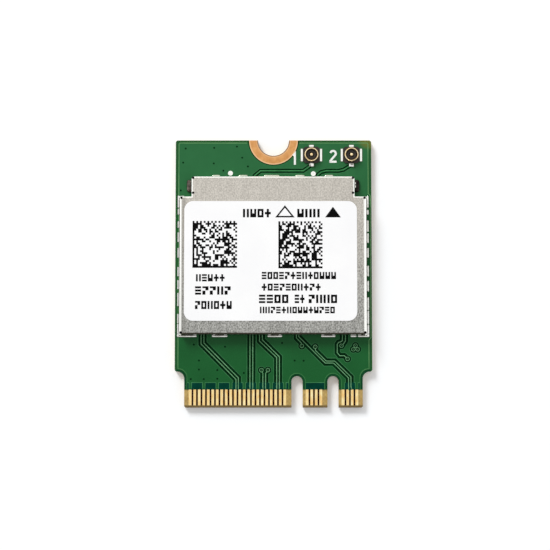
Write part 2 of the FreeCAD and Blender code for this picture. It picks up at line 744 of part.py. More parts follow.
def jack_insulator(name, x, shell, contact):
    """The black moulding: chamfered base, floor inside the ring and a collar round the pin."""
    body = new_body(f"{name}_moulding", x, "Sizes.jack_y")
    half, cut_off = "Sizes.jack_body / 2", "Sizes.jack_chamfer"
    near = f"({half} - {cut_off})"
    base = new_sketch(body, f"{name}_moulding_base", level="Sizes.board_top")
    outline(base, [(f"-{near}", f"-{half}"), (near, f"-{half}"), (half, f"-{near}"), (half, near),
                   (near, half), (f"-{near}", half), (f"-{half}", near), (f"-{half}", f"-{near}")])
    sketched(body, "Pad", base, "Sizes.jack_body_top - Sizes.board_top")
    well = new_sketch(body, f"{name}_well", level="Sizes.jack_body_top")
    circle(well, "0", "0", "Sizes.jack_ring_bore")
    sketched(body, "Pocket", well, "Sizes.jack_body_top - Sizes.jack_floor")
    collar = new_sketch(body, f"{name}_collar", level="Sizes.jack_floor")
    circle(collar, "0", "0", "Sizes.jack_collar_radius")
    sketched(body, "Pad", collar, "Sizes.jack_collar_top - Sizes.jack_floor")
    bore = new_sketch(body, f"{name}_collar_bore", level="Sizes.jack_collar_top")
    circle(bore, "0", "0", "Sizes.jack_collar_bore")
    sketched(body, "Pocket", bore, "Sizes.jack_collar_top - Sizes.jack_floor")
    label = f"{name}_insulator"
    return keep(label, cut(label, body, grouped(f"{name}_metal", [shell, contact])))


def jack_spots(x):
    """Plans of the four lands under one jack: ground on three sides, signal to the south."""
    y, margin = "Sizes.jack_y", "Sizes.jack_land_margin"
    tab, side = f"(Sizes.jack_tab_half + {margin})", f"(Sizes.jack_tab_reach + {margin})"
    half = f"(Sizes.jack_end_half + {margin})"
    edge = "(Sizes.jack_body / 2)"
    return {
        "west": ((f"{x} - {side}", f"{y} - {tab}"), (f"{x} - {edge}", f"{y} + {tab}")),
        "east": ((f"{x} + {edge}", f"{y} - {tab}"), (f"{x} + {side}", f"{y} + {tab}")),
        "north": ((f"{x} - {half}", f"{y} + {edge}"),
                  (f"{x} + {half}", f"{y} + Sizes.jack_end_reach + {margin}")),
        "south": ((f"{x} - {half}", f"{y} - Sizes.jack_signal_reach - {margin}"),
                  (f"{x} + {half}", f"{y} - {edge}")),
    }


def build_jacks():
    """Two antenna jacks side by side at the screw end, and the lands that carry them."""
    lands = []
    foil_top = "Sizes.laminate_high + Sizes.foil"
    clear = size("antenna_clear") - size("antenna_half")
    for name, x in (("jack_1", "Sizes.jack_1_x"), ("jack_2", "Sizes.jack_2_x")):
        shell = jack_shell(name, x)
        contact = jack_contact(name, x)
        jack_insulator(name, x, shell, contact)
        keep(f"{name}_shell", shell)
        keep(f"{name}_contact", contact)
        for side_name, (low, high) in jack_spots(x).items():
            level = "Sizes.laminate_high" if side_name == "south" else foil_top
            lands.append(box(f"{name}_land_{side_name}", (*low, level), (*high, "Sizes.board_top")))
            window = [value(item) for item in (*low, *high)]
            mask_windows.append(window)
            if side_name == "south":
                signal_lands.append(window)
                foil_windows.append([window[0] - clear, window[1] - clear,
                                     window[2] + clear, window[3]])
    return keep("jack_lands", grouped("jack_lands", lands))


component_lands = []


def land_grid(name, x, y, columns, rows, width, length, margin=0.08):
    """Solder lands at every crossing of the given columns and rows, in one gap of the foil."""
    for i, across in enumerate(columns):
        for j, along in enumerate(rows):
            left, low = x + across - width / 2, y + along - length / 2
            component_lands.append(box(f"{name}_land_{i}_{j}", (left, low, "Sizes.laminate_high"),
                                       (left + width, low + length, "Sizes.land_top")))
    window = [x + columns[0] - width / 2 - margin, y + rows[0] - length / 2 - margin,
              x + columns[-1] + width / 2 + margin, y + rows[-1] + length / 2 + margin]
    mask_windows.append(window)
    foil_windows.append(window)


def block(name, x, y, width, length, height, foot="Sizes.land_top"):
    """An upright block about the middle of its plan, each size a formula."""
    return box(name, (f"{x} - {width} / 2", f"{y} - {length} / 2", foot),
               (f"{x} + {width} / 2", f"{y} + {length} / 2", f"{foot} + {height}"))


def package(label, x, y, width, length, height, mark):
    """A moulded package that stands on its lands, with a round mark beside its first lead."""
    mould = block(f"{label}_mould", x, y, width, length, height)
    place = (f"{x} - {width} / 2 + 3 * {mark}", f"{y} + {length} / 2 - 3 * {mark}",
             f"Sizes.land_top + {height} - Sizes.mark_depth")
    dimple = cylinder(f"{label}_mark", mark, place, "2 * Sizes.mark_depth")
    return keep(label, cut(label, mould, dimple))


def even(count, step):
    """Evenly spaced offsets about zero."""
    return [(index - (count - 1) / 2) * step for index in range(count)]


RADIO = (0.6, 0.4)
FRONT_ENDS = [(-4.6, 6.9), (5.0, 6.9)]
CRYSTAL = (-7.4, 1.3)
FLASH = (7.4, 1.2)
INDUCTORS = [(-7.6, -4.4), (-4.6, -5.2), (5.2, -5.2)]
DIPLEXERS = [(-2.1, 9.2), (4.95, 9.2)]
CAPACITOR_ROWS = [(-8.9, -1.2, 4), (-8.9, 5.5, 3), (6.4, -2.4, 4), (-1.3, 6.6, 4), (-1.4, -5.1, 4)]
RESISTOR_ROWS = [(6.2, 3.4, 5), (-0.9, 8.3, 4)]


def build_radio():
    """The wireless chip with leads under its four sides and a heat pad in the middle."""
    x, y = RADIO
    side, height = "Sizes.chip_side", "Sizes.chip_height"
    package("radio_chip", x, y, side, side, height, "Sizes.chip_mark")
    before = len(component_lands)
    row = even(10, size("chip_pitch"))
    wide, long, heat = size("chip_lead_width"), size("chip_lead_length"), size("chip_heat_pad")
    reach = size("chip_side") / 2 - size("chip_lead_inset")
    land_grid("radio_south", x, y - reach, row, [0.0], wide, long)
    land_grid("radio_north", x, y + reach, row, [0.0], wide, long)
    land_grid("radio_west", x - reach, y, [0.0], row, long, wide)
    land_grid("radio_east", x + reach, y, [0.0], row, long, wide)
    land_grid("radio_heat", x, y, [0.0], [0.0], heat, heat)
    lands = component_lands[before:]
    del component_lands[before:]
    keep("radio_chip_lands", grouped("radio_chip_lands", lands))


def build_crystal():
    """The reference crystal: ceramic tray with a metal lid."""
    x, y = CRYSTAL
    width, length = "Sizes.crystal_width", "Sizes.crystal_length"
    tray = block("crystal_tray", x, y, width, length, "Sizes.crystal_tray")
    lid = block("crystal_lid", x, y, f"({width} - 2 * Sizes.crystal_rim)",
                f"({length} - 2 * Sizes.crystal_rim)", "Sizes.crystal_height")
    keep("crystal", fused("crystal", [tray, lid]))
    land_grid("crystal", x, y, [-0.85, 0.85], [-0.65, 0.65], 0.7, 0.6)


def build_inductors():
    """Moulded power inductors with cut corners."""
    blocks = []
    half, long, slant = size("inductor_width") / 2, size("inductor_length") / 2, size("inductor_cut")
    for index, (x, y) in enumerate(INDUCTORS):
        raw = block(f"inductor_{index}_raw", x, y, "Sizes.inductor_width", "Sizes.inductor_length",
                    "Sizes.inductor_height")
        doc.recompute()
        bevel = doc.addObject("Part::Chamfer", f"inductor_{index}")
        bevel.Base = raw
        corners = [(x + i * half, y + j * long) for i in (-1, 1) for j in (-1, 1)]
        bevel.Edges = [(int(edge[4:]), slant, slant) for edge in upright_edges(raw.Shape, corners)]
        blocks.append(bevel)
        land_grid(f"inductor_{index}", x, y, [-0.9, 0.9], [0.0], 0.6, 1.4)
    keep("power_inductors", grouped("power_inductors", blocks))


def build_passives(label, rows):
    """Rows of small two-ended parts: a body and a metal end at each side."""
    step, width, length = (size(f"{label}_{part}") for part in ("step", "width", "length"))
    height, cap = size(f"{label}_height"), size(f"{label}_cap")
    bodies, ends = [], []
    for row, (x, y, count) in enumerate(rows):
        for index in range(count):
            middle = x + index * step
            left, right = middle - width / 2, middle + width / 2
            cuts = [y - length / 2, y - length / 2 + cap, y + length / 2 - cap, y + length / 2]
            roof = f"Sizes.land_top + {height}"
            for low, high, group in ((0, 1, ends), (1, 2, bodies), (2, 3, ends)):
                group.append(box(f"{label}_{row}_{index}_{low}", (left, cuts[low], "Sizes.land_top"),
                                 (right, cuts[high], roof)))
        columns = [index * step for index in range(count)]
        land_grid(f"{label}_{row}", x, y, columns, [-(length - cap) / 2, (length - cap) / 2],
                  width, cap + size("passive_land_spare"))
    keep(f"{label}s", grouped(f"{label}s", bodies))
    keep(f"{label}_ends", grouped(f"{label}_ends", ends))


def build_electronics():
    """Everything that stands on the board under the shield."""
    build_radio()
    for index, (x, y) in enumerate(FRONT_ENDS, start=1):
        package(f"front_end_{index}", x, y, "Sizes.front_end_side", "Sizes.front_end_side",
                "Sizes.front_end_height", "Sizes.front_end_mark")
        land_grid(f"front_end_{index}", x, y, [-1.2, 0.0, 1.2], even(4, 0.65), 0.5, 0.35)
    build_crystal()
    x, y = FLASH
    package("flash_memory", x, y, "Sizes.flash_width", "Sizes.flash_length", "Sizes.flash_height",
            "Sizes.front_end_mark")
    land_grid("flash_memory", x, y, [-1.15, 1.15], even(4, 0.45), 0.5, 0.25)
    build_inductors()
    blocks = []
    for index, (x, y) in enumerate(DIPLEXERS):
        blocks.append(block(f"diplexer_{index}", x, y, "Sizes.diplexer_width",
                            "Sizes.diplexer_length", "Sizes.diplexer_height"))
        land_grid(f"diplexer_{index}", x, y, [-0.7, 0.0, 0.7], [-0.45, 0.45], 0.4, 0.3)
    keep("diplexers", grouped("diplexers", blocks))
    build_passives("capacitor", CAPACITOR_ROWS)
    build_passives("resistor", RESISTOR_ROWS)
    keep("component_lands", grouped("component_lands", component_lands))


ANTENNA_RUNS = [
    [(4.27, 12.20), (4.02, 12.02), (3.35, 11.55), (-1.45, 11.55), (-2.12, 11.00), (-2.12, 10.20)],
    [(8.77, 12.20), (8.45, 12.02), (7.90, 11.68), (7.35, 11.55), (5.95, 11.55), (5.35, 11.40),
     (4.95, 11.05), (4.95, 10.20)],
]
SIGNAL_RUNS = [
    [(-8.07, -6.20), (-8.07, -7.94), (-4.17, -11.88), (-4.17, -13.00)],
    [(-7.75, -6.20), (-7.75, -7.82), (-3.91, -11.70), (-3.91, -13.00)],
    [(-2.62, -6.20), (-2.62, -13.00)],
    [(-2.30, -6.20), (-2.30, -13.00)],
    [(-1.56, -6.20), (-1.56, -7.62), (0.36, -9.44), (0.36, -13.00)],
    [(-1.24, -6.20), (-1.24, -7.47), (0.66, -9.37), (0.66, -13.00)],
    [(-1.34, -10.85), (-1.18, -11.20), (-1.18, -13.00)],
    [(-0.62, -10.85), (-0.87, -11.20), (-0.87, -13.00)],
    [(2.56, -6.20), (2.56, -7.27), (3.10, -7.82), (3.16, -8.16)],
    [(2.82, -6.20), (2.82, -7.12), (5.76, -10.06), (6.69, -10.06), (8.35, -11.72), (8.35, -13.00)],
    [(4.65, -8.25), (4.68, -8.65), (5.87, -9.84), (6.82, -9.84), (8.62, -11.60), (8.62, -12.70),
     (8.72, -13.00)],
    [(7.68, -6.20), (7.68, -7.56), (7.50, -7.70), (7.26, -7.75), (7.10, -7.97), (7.10, -8.90),
     (7.38, -9.24), (7.88, -9.24), (8.25, -9.60)],
    [(8.02, -6.20), (8.02, -7.60), (7.80, -7.93), (7.58, -8.13)],
    [(8.90, -8.53), (9.14, -8.12)],
    [(9.14, -8.12), (9.38, -8.53)],
]
SIGNAL_VIAS = [(-1.34, -10.85), (-0.62, -10.85), (3.16, -8.16), (4.65, -8.25), (8.25, -9.60),
               (7.58, -8.13), (8.90, -8.53), (9.14, -8.12), (9.38, -8.53)]
GROUND_VIAS = [(-9.88, 14.08), (-6.68, 14.16), (-4.12, 14.30), (-3.52, 13.04), (-6.72, 12.38),
               (-10.16, 12.48), (-2.88, 12.04), (-5.64, 11.56), (-10.42, 9.32), (-8.88, -8.00),
               (-5.40, -8.24), (-8.30, -9.78), (-8.30, -10.78), (-6.25, -10.84), (-9.20, -11.84),
               (-7.76, -11.84), (-6.25, -11.80), (-3.30, -11.16), (0.96, -7.82), (2.36, -9.78),
               (3.36, -9.80)]
TEST_PADS = [(-7.0, 6.0), (-3.5, 6.0), (0.0, 6.0), (3.5, 6.0), (7.0, 6.0), (-7.0, -6.0),
             (-3.5, -6.0), (7.0, -6.0)]


def slab(face, low, high):
    """A flat pattern raised from its level by a thickness, with the fields that touch grown together."""
    raised = face.copy()
    raised.translate(Vector(0, 0, low))
    fields = raised.extrude(Vector(0, 0, high - low)).Solids
    return fields[0].fuse(fields[1:]).removeSplitter() if len(fields) > 1 else fields[0]


def rectangle(x0, y0, x1, y1):
    """A flat face between two corners."""
    corners = [Vector(x0, y0, 0), Vector(x1, y0, 0), Vector(x1, y1, 0), Vector(x0, y1, 0)]
    return Part.Face(Part.makePolygon(corners + corners[:1]))


def disc(x, y, radius):
    """A flat round face."""
    return Part.Face(Part.Wire(Part.makeCircle(radius, Vector(x, y, 0))))


VIA_SIDES = 12
OCTAGON = math.sqrt(2) - 1


def via_face(x, y, radius):
    """A small round face as a polygon of twelve sides, so that many vias stay light."""
    turns = [2 * math.pi * index / VIA_SIDES for index in range(VIA_SIDES + 1)]
    corners = [Vector(x + radius * math.cos(turn), y + radius * math.sin(turn), 0) for turn in turns]
    return Part.Face(Part.makePolygon(corners))


def stroke(run, half):
    """The flat face of a line with mitred bends along a run; each end is half an octagon."""
    points = [Vector(x, y, 0) for x, y in run]
    ways = [(after - before).normalize() for before, after in zip(points, points[1:])]
    sides = [way.cross(Vector(0, 0, 1)) for way in ways]
    shifts = [sides[0] * half]
    for before, after in zip(sides, sides[1:]):
        shifts.append((before + after) * (half / (1 + before.dot(after))))
    shifts.append(sides[-1] * half)
    right = [point + shift for point, shift in zip(points, shifts)]
    left = [point - shift for point, shift in zip(points, shifts)][::-1]
    corners = right + line_end(points[-1], ways[-1], sides[-1], half)
    corners += left + line_end(points[0], -ways[0], -sides[0], half)
    return Part.Face(Part.makePolygon(corners + corners[:1]))


def line_end(point, way, side, half):
    """Four corners of half an octagon past the end of a line, from its right side to its left."""
    slant = OCTAGON * half
    return [point + side * half + way * slant, point + side * slant + way * half,
            point - side * slant + way * half, point - side * half + way * slant]


def card_face(inset):
    """The card's plan as a flat face, drawn in by an inset."""
    level = (size("laminate_low") + size("laminate_high")) / 2
    section = NODES["circuit_board"].Shape.slice(Vector(0, 0, 1), level)
    wire = Part.Wire(Part.sortEdges(section[0].Edges)[0])
    wire.translate(Vector(0, 0, -level))
    return Part.Face(wire.makeOffset2D(-inset, 0, False, False) if inset else wire)


def foil_face():
    """The etched pattern of the component side: ground pour, signal lines, vias and finger tails."""
    edge = value(EDGE)
    half, length = size("board_width") / 2, size("board_length") / 2
    pour_edge, mask_edge = edge + size("pour_end"), edge + size("mask_end")
    pour = card_face(size("rim")).common(rectangle(-half, pour_edge, half, length))
    gaps = [stroke(run, size("antenna_clear")) for run in ANTENNA_RUNS]
    gaps += [stroke(run, size("signal_clear")) for run in SIGNAL_RUNS]
    gaps += [via_face(x, y, size("via_clear")) for x, y in SIGNAL_VIAS]
    gaps += [rectangle(*window) for window in foil_windows]
    gaps.append(disc(0, length, size("ring_radius")))
    lines = [stroke(run, size("antenna_half")) for run in ANTENNA_RUNS]
    lines += [stroke(run, size("signal_half")) for run in SIGNAL_RUNS]
    lines += [via_face(x, y, size("via_radius")) for x, y in SIGNAL_VIAS]
    wide = size("finger_width") / 2
    for pin in GROUND_PINS:
        middle = value(finger_x(pin))
        lines.append(rectangle(middle - wide, mask_edge, middle + wide, pour_edge + wide))
    metal = pour.cut(gaps).fuse(lines)
    field = rectangle(-half, mask_edge, half, length)
    return metal.common(field).cut([rectangle(*window) for window in signal_lands])


def set_shape(label, shape):
    """A sub-part whose shape is worked out directly."""
    item = doc.addObject("Part::Feature", label)
    item.Shape = shape
    return keep(label, item)


def build_films():
    """Copper foil and solder mask on both faces."""
    base, top = size("laminate_high"), size("board_top")
    copper = base + size("foil")
    edge, half, length = value(EDGE), size("board_width") / 2, size("board_length") / 2
    ring = disc(0, length, size("ring_radius"))
    masked = card_face(0).common(rectangle(-half, edge + size("mask_end"), half, length)).cut(ring)
    metal = foil_face()
    set_shape("copper_top", slab(metal, base, copper))
    vias = SIGNAL_VIAS + GROUND_VIAS
    windows = [rectangle(*window) for window in mask_windows]
    low_face = masked.cut(windows)
    high_face = metal.cut(windows + [via_face(x, y, size("via_pit")) for x, y in vias])
    film = slab(low_face, base, top - size("groove")).fuse(slab(high_face, copper, top))
    set_shape("solder_mask_top", film.cut(slab(metal, base, copper)).removeSplitter())
    build_underside(masked)


def build_underside(masked):
    """The plain lower face: ground pour, mask and test pads."""
    low = size("laminate_low")
    copper = low - size("foil")
    edge, half, length = value(EDGE), size("board_width") / 2, size("board_length") / 2
    pour = card_face(size("rim")).common(rectangle(-half, edge + size("pour_end"), half, length))
    pads = [disc(x, y, size("test_radius")) for x, y in TEST_PADS]
    room = [via_face(x, y, size("test_clear")) for x, y in TEST_PADS]
    plane = pour.cut(room + [disc(0, length, size("ring_radius"))])
    set_shape("copper_bottom", slab(plane, copper, low))
    film = slab(masked.cut(pads), 0, low).cut(slab(plane, copper, low))
    set_shape("solder_mask_bottom", film)
    set_shape("test_pads", Part.makeCompound([slab(pad, size("groove"), low) for pad in pads]))


build_board()
build_fingers("edge_contacts_top", TOP_PINS, "Sizes.laminate_high",
              "Sizes.laminate_high + Sizes.finger_thick")
build_fingers("edge_contacts_bottom", BOTTOM_PINS, "Sizes.laminate_low - Sizes.finger_thick",
              "Sizes.laminate_low")
build_screw_pad("screw_pad_top", "Sizes.laminate_high", "Sizes.laminate_high + Sizes.finger_thick")
build_screw_pad("screw_pad_bottom", "Sizes.laminate_low - Sizes.finger_thick", "Sizes.laminate_low")
build_lid()
build_fence()
build_solder()
build_lugs()
build_label()
build_jacks()
build_electronics()
doc.recompute()
build_films()
doc.recompute()

for item in doc.Objects:
    if {"Invalid", "Error"} & set(item.State):
        raise SystemExit(f"{item.Name} failed: {item.State}")
for label, item in NODES.items():
    if item.Shape.isNull() or not item.Shape.isValid() or not item.Shape.Solids:
        raise SystemExit(f"{label} has no valid solid")

os.makedirs("parts", exist_ok=True)
for label, item in NODES.items():
    item.Shape.exportStep(f"parts/{label}.step")
    print(f"{label}: {len(item.Shape.Solids)} solids, {item.Shape.Volume:.3f} mm3")
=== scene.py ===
import json
import math

import bpy
import numpy as np
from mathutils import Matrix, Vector


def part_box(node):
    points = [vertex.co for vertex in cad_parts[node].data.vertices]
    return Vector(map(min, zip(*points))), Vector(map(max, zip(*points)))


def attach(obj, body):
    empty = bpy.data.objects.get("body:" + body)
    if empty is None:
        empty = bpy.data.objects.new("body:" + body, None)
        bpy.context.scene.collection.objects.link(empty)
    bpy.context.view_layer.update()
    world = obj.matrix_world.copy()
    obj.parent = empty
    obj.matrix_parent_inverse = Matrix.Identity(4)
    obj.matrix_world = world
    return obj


# Looks of a laptop wireless card that lies on a pale floor and is seen from above.
# Places are millimetres in the card's frame and become metres where a mesh is made.

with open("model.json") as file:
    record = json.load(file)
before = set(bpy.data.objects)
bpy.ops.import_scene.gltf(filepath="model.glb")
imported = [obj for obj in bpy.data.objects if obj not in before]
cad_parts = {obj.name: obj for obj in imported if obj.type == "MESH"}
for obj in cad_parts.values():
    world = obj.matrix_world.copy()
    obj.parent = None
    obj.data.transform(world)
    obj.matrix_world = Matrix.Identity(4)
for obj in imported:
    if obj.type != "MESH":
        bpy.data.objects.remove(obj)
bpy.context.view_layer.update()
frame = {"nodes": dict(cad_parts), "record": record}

MM = 0.001

# Levels of the card, from the frame
MASK_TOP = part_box("solder_mask_top")[1].z / MM
LABEL_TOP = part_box("lid_label")[1].z / MM
BARE_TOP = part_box("circuit_board")[1].z / MM
BARE_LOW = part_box("circuit_board")[0].z / MM
BOARD_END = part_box("circuit_board")[1].y / MM
BOARD_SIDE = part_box("circuit_board")[1].x / MM
JACK_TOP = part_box("jack_1_shell")[1].z / MM
JACKS = [sum(corner.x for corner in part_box(f"jack_{number}_shell")) / 2 / MM for number in (1, 2)]
JACK_Y = 13.33
RING_LIP = 0.645
RING_LIP_HALF = 0.035
SCREW_RING = 2.80
LID_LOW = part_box("shield_lid")[0] / MM
LID_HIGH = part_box("shield_lid")[1] / MM
LID_X = (LID_LOW.x + LID_HIGH.x) / 2
LID_STEP = 8.5
LID_NARROW = 9.11
RELIEF_INSET = 0.19
RELIEF_RADIUS = 0.12
GROOVE_DEPTH = 0.02
GROOVE = MASK_TOP - GROOVE_DEPTH

# Etched pattern of the component side
ANTENNA_RUNS = [
    [(4.27, 12.20), (4.02, 12.02), (3.35, 11.55), (-1.45, 11.55), (-2.12, 11.00), (-2.12, 10.60)],
    [(8.77, 12.20), (8.45, 12.02), (7.90, 11.68), (7.35, 11.55), (5.95, 11.55), (5.35, 11.40),
     (4.95, 11.05), (4.95, 10.60)],
]
SIGNAL_RUNS = [
    [(-8.07, -6.60), (-8.07, -7.94), (-4.17, -11.88), (-4.17, -13.00)],
    [(-7.75, -6.60), (-7.75, -7.82), (-3.91, -11.70), (-3.91, -13.00)],
    [(-2.62, -6.60), (-2.62, -13.00)],
    [(-2.30, -6.60), (-2.30, -13.00)],
    [(-1.56, -6.60), (-1.56, -7.62), (0.36, -9.44), (0.36, -13.00)],
    [(-1.24, -6.60), (-1.24, -7.47), (0.66, -9.37), (0.66, -13.00)],
    [(-1.34, -10.85), (-1.18, -11.20), (-1.18, -13.00)],
    [(-0.62, -10.85), (-0.87, -11.20), (-0.87, -13.00)],
    [(2.56, -6.60), (2.56, -7.27), (3.10, -7.82), (3.16, -8.16)],
    [(2.82, -6.60), (2.82, -7.12), (5.76, -10.06), (6.69, -10.06), (8.35, -11.72), (8.35, -13.00)],
    [(4.65, -8.25), (4.68, -8.65), (5.87, -9.84), (6.82, -9.84), (8.62, -11.60), (8.62, -12.70),
     (8.72, -13.00)],
    [(7.68, -6.60), (7.68, -7.56), (7.50, -7.70), (7.26, -7.75), (7.10, -7.97), (7.10, -8.90),
     (7.38, -9.24), (7.88, -9.24), (8.25, -9.60)],
    [(8.02, -6.60), (8.02, -7.60), (7.80, -7.93), (7.58, -8.13)],
    [(8.90, -8.53), (9.14, -8.12)],
    [(9.14, -8.12), (9.38, -8.53)],
]
SIGNAL_VIAS = [(-1.34, -10.85), (-0.62, -10.85), (3.16, -8.16), (4.65, -8.25), (8.25, -9.60),
               (7.58, -8.13), (8.90, -8.53), (9.14, -8.12), (9.38, -8.53)]
GROUND_VIAS = [(-9.88, 14.08), (-6.68, 14.16), (-4.12, 14.30), (-3.52, 13.04), (-6.72, 12.38),
               (-10.16, 12.48), (-2.88, 12.04), (-5.64, 11.56), (-10.42, 9.32), (-8.88, -8.00),
               (-5.40, -8.24), (-8.30, -9.78), (-8.30, -10.78), (-6.25, -10.84), (-9.20, -11.84),
               (-7.76, -11.84), (-6.25, -11.80), (-3.30, -11.16), (0.96, -7.82), (2.36, -9.78),
               (3.36, -9.80)]
TRACK_HALF = 0.042
SIGNAL_CLEAR = 0.29
ANTENNA_CLEAR = 0.23
VIA_RADIUS = 0.21
VIA_CLEAR = 0.41
VIA_PIT = 0.09
VIA_HOOP_HALF = 0.028
VIA_DOT = 0.035

# Films on the mask: the levels of their faces, and how far they reach past the etched gaps
LAYER = 0.0001
SEAM_FOOT = MASK_TOP - 0.002
FILM_FOOT = MASK_TOP - 0.001
SEAM_TOP = MASK_TOP + 0.0005
CHANNEL_TOP = MASK_TOP + 0.003
RIM_TOP = MASK_TOP + 0.006
TRACK_TOP = MASK_TOP + 0.012
CHANNEL_LAP = 0.02
SIGNAL_SEAM = 0.07
ANTENNA_SEAM = 0.06
VIA_SEAM = 0.03
FIELD_SEAM = 0.02
FIELD_SEAM_HALF = 0.04

# Tinned lands round the shield, as spans along each side
WEST_TIN = [(7.40, 8.70), (6.60, 7.20), (5.10, 5.80), (3.50, 4.55), (1.75, 2.80), (-0.35, 0.65),
            (-1.80, -0.82), (-3.70, -2.25), (-5.60, -4.60), (-7.10, -5.70)]
EAST_TIN = [(7.40, 8.65), (6.60, 7.10), (4.65, 5.90), (3.40, 4.45), (1.75, 2.80), (-0.35, 0.80),
            (-2.05, -0.90), (-4.15, -2.75), (-5.70, -4.25), (-7.10, -5.80)]
SOUTH_TIN = [(-10.84, -8.62), (-6.82, -5.20), (-0.60, 0.90), (5.36, 6.86), (8.65, 9.20),
             (9.45, 10.74)]
NORTH_TIN = [(-6.80, -6.05), (-3.85, -2.95), (-1.00, 0.62), (2.52, 3.45), (5.80, 6.66)]

# Soft solder on the lands: middles of the rows, half widths and levels
WEST_BEAD = LID_LOW.x - 0.21
EAST_BEAD = LID_HIGH.x + 0.225
SOUTH_BEAD = LID_LOW.y - 0.15
NORTH_BEAD = LID_HIGH.y + 0.14
SIDE_HALF = 0.07
SOUTH_HALF = 0.155
NORTH_HALF = 0.19
BEAD_FOOT = MASK_TOP - 0.01
BEAD_TOP = MASK_TOP + 0.06

# Contact edge
PIN_STEP = 0.5
FINGER_WIDTH = 0.35
FINGER_SPAN = (-14.75, -13.0)
FINGER_TOP = 0.039
PLATING_RISE = 0.02
# How far the painted shade between the fingers rises, and how far it laps over them.
GAP_SHADE_RISE = 0.045
GAP_SHADE_LAP = 0.028
TOP_GROUPS = [(9.25, 7.75), (5.25, 3.75), (1.25, -9.25)]
BOTTOM_GROUPS = [(9.0, 8.0), (5.5, 4.0), (1.5, -9.0)]
GROUND_TAILS = [-9.25, -7.75, -6.25, -4.75, -3.25, -1.75, -0.25, 1.25, 7.75, 9.25]
POUR_END = -12.25
MASK_END = -13.0
TONGUES = [(-9.6, 1.68), (3.57, 5.68), (7.57, 9.6)]

# Rim of the copper pour, and the shade outside it: how far in from the edge, and half widths
RIM = 0.30
RIM_HALF = 0.045
SHADE_MIDDLE = 0.14
SHADE_HALF = 0.115
TONGUE_HALF = 9.925
SHOULDER_Y = -11.0
SHOULDER_RADIUS = 0.8
KEYS = (2.625, 6.625)
KEY_HALF = 0.625
KEY_ARCH = -12.125


def grid_faces(rows, columns):
    """Quads of a grid of points whose columns join up with the first."""
    row = np.arange(rows - 1)[:, None] * columns
    column = np.arange(columns)[None, :]
    following = (column + 1) % columns
    corners = [row + column, row + following, row + columns + following, row + columns + column]
    return np.stack(corners, axis=-1).reshape(-1, 4)


def lofted(sections):
    """A closed shell through sections of equal count, each a closed loop of points.

    The grid point (k, j) is point j of section k; the first and last section are closed by one face.
    """
    rows, columns, _ = sections.shape
    quads = grid_faces(rows, columns).tolist()
    first = list(range(columns))[::-1]
    last = list(range((rows - 1) * columns, rows * columns))
    return sections.reshape(-1, 3), quads + [first, last]


def joined(shells):
    """Several shells as one list of points and one list of faces."""
    points, faces, offset = [], [], 0
    for part, corners in shells:
        points.append(part)
        faces += [[index + offset for index in face] for face in corners]
        offset += len(part)
    return np.concatenate(points), faces


def mitres(path, closed=False):
    """Sideways shift of each point of a flat path: sum of both unit normals over one plus their dot."""
    ahead = np.roll(path, -1, axis=0) - path
    ahead /= np.linalg.norm(ahead, axis=1)[:, None]
    if not closed:
        ahead[-1] = ahead[-2]
    behind = np.roll(ahead, 1, axis=0)
    if not closed:
        behind[0] = ahead[0]
    normal = ahead[:, ::-1] * (1, -1)
    before = behind[:, ::-1] * (1, -1)
    dot = np.sum(normal * before, axis=1)[:, None]
    return (normal + before) / (1 + dot)


ROUND_STEPS = np.radians([67, 45, 22])
BLUNT = 0.12


def with_round_ends(path, half, reach=None):
    """The path with a few more points past each end, and the width factor of every point.

    Past an end the point moves on by the reach times the cosine of an angle, and the width shrinks
    with its sine, down to a blunt tip. The reach is half the width unless it is given.
    """
    reach = half if reach is None else reach
    path = np.array(path, float)
    start = path[0] - path[1]
    end = path[-1] - path[-2]
    start /= np.linalg.norm(start)
    end /= np.linalg.norm(end)
    steps = reach * np.append(np.cos(ROUND_STEPS), 1.0)[:, None]
    before = path[0] + start * steps[::-1]
    after = path[-1] + end * steps
    width = np.append(np.sin(ROUND_STEPS), BLUNT)
    factor = np.concatenate([width[::-1], np.ones(len(path)), width])
    return np.concatenate([before, path, after]), factor


def swept(path, profile, factor=None, closed=False):
    """A closed profile carried along a flat path, as a shell.

    Point (k, j) is path[k] + shift[k] * factor[k] * across[j], at the height up[j].
    """
    path = np.array(path, float)
    factor = np.ones(len(path)) if factor is None else factor
    shift = mitres(path, closed) * factor[:, None]
    across, up = profile.T
    flat = path[:, None, :] + shift[:, None, :] * across[None, :, None]
    height = np.broadcast_to(up[None, :, None], flat.shape[:2] + (1,))
    sections = np.concatenate([flat, height], axis=2)
    if not closed:
        return lofted(sections)
    rows, columns, _ = sections.shape
    looped = np.concatenate([sections, sections[:1]])
    quads = grid_faces(rows + 1, columns) % (rows * columns)
    return looped[:rows].reshape(-1, 3), quads.tolist()


def flat_profile(half, low, high):
    """A rectangle across the path."""
    return np.array([(-half, low), (half, low), (half, high), (-half, high)])


def arched_profile(half, low, high):
    """Half an ellipse across the path, standing on its chord."""
    turn = np.linspace(0, math.pi, 7)
    return np.stack([half * np.cos(turn), low + (high - low) * np.sin(turn)], axis=1)


def band(path, half, low, high):
    """A flat band with square ends."""
    return swept(path, flat_profile(half, low, high))


def ridge(path, half, low, high, reach=None):
    """An arched line with round ends."""
    longer, factor = with_round_ends(path, half, reach)
    return swept(longer, arched_profile(half, low, high), factor)


def stacked(outlines, levels):
    """A shell through flat outlines, each at its own level."""
    sections = [np.column_stack([line, np.full(len(line), z)]) for line, z in zip(outlines, levels)]
    return lofted(np.array(sections))


def circle(x, y, radius, count=24):
    """Points of a circle: centre plus radius times the cosine and sine of even angles."""
    turn = np.arange(count) * 2 * math.pi / count
    return np.stack([x + radius * np.cos(turn), y + radius * np.sin(turn)], axis=1)


def disc(x, y, radius, low, high, count=24):
    """A flat round plate."""
    line = circle(x, y, radius, count)
    return stacked([line, line], [low, high])


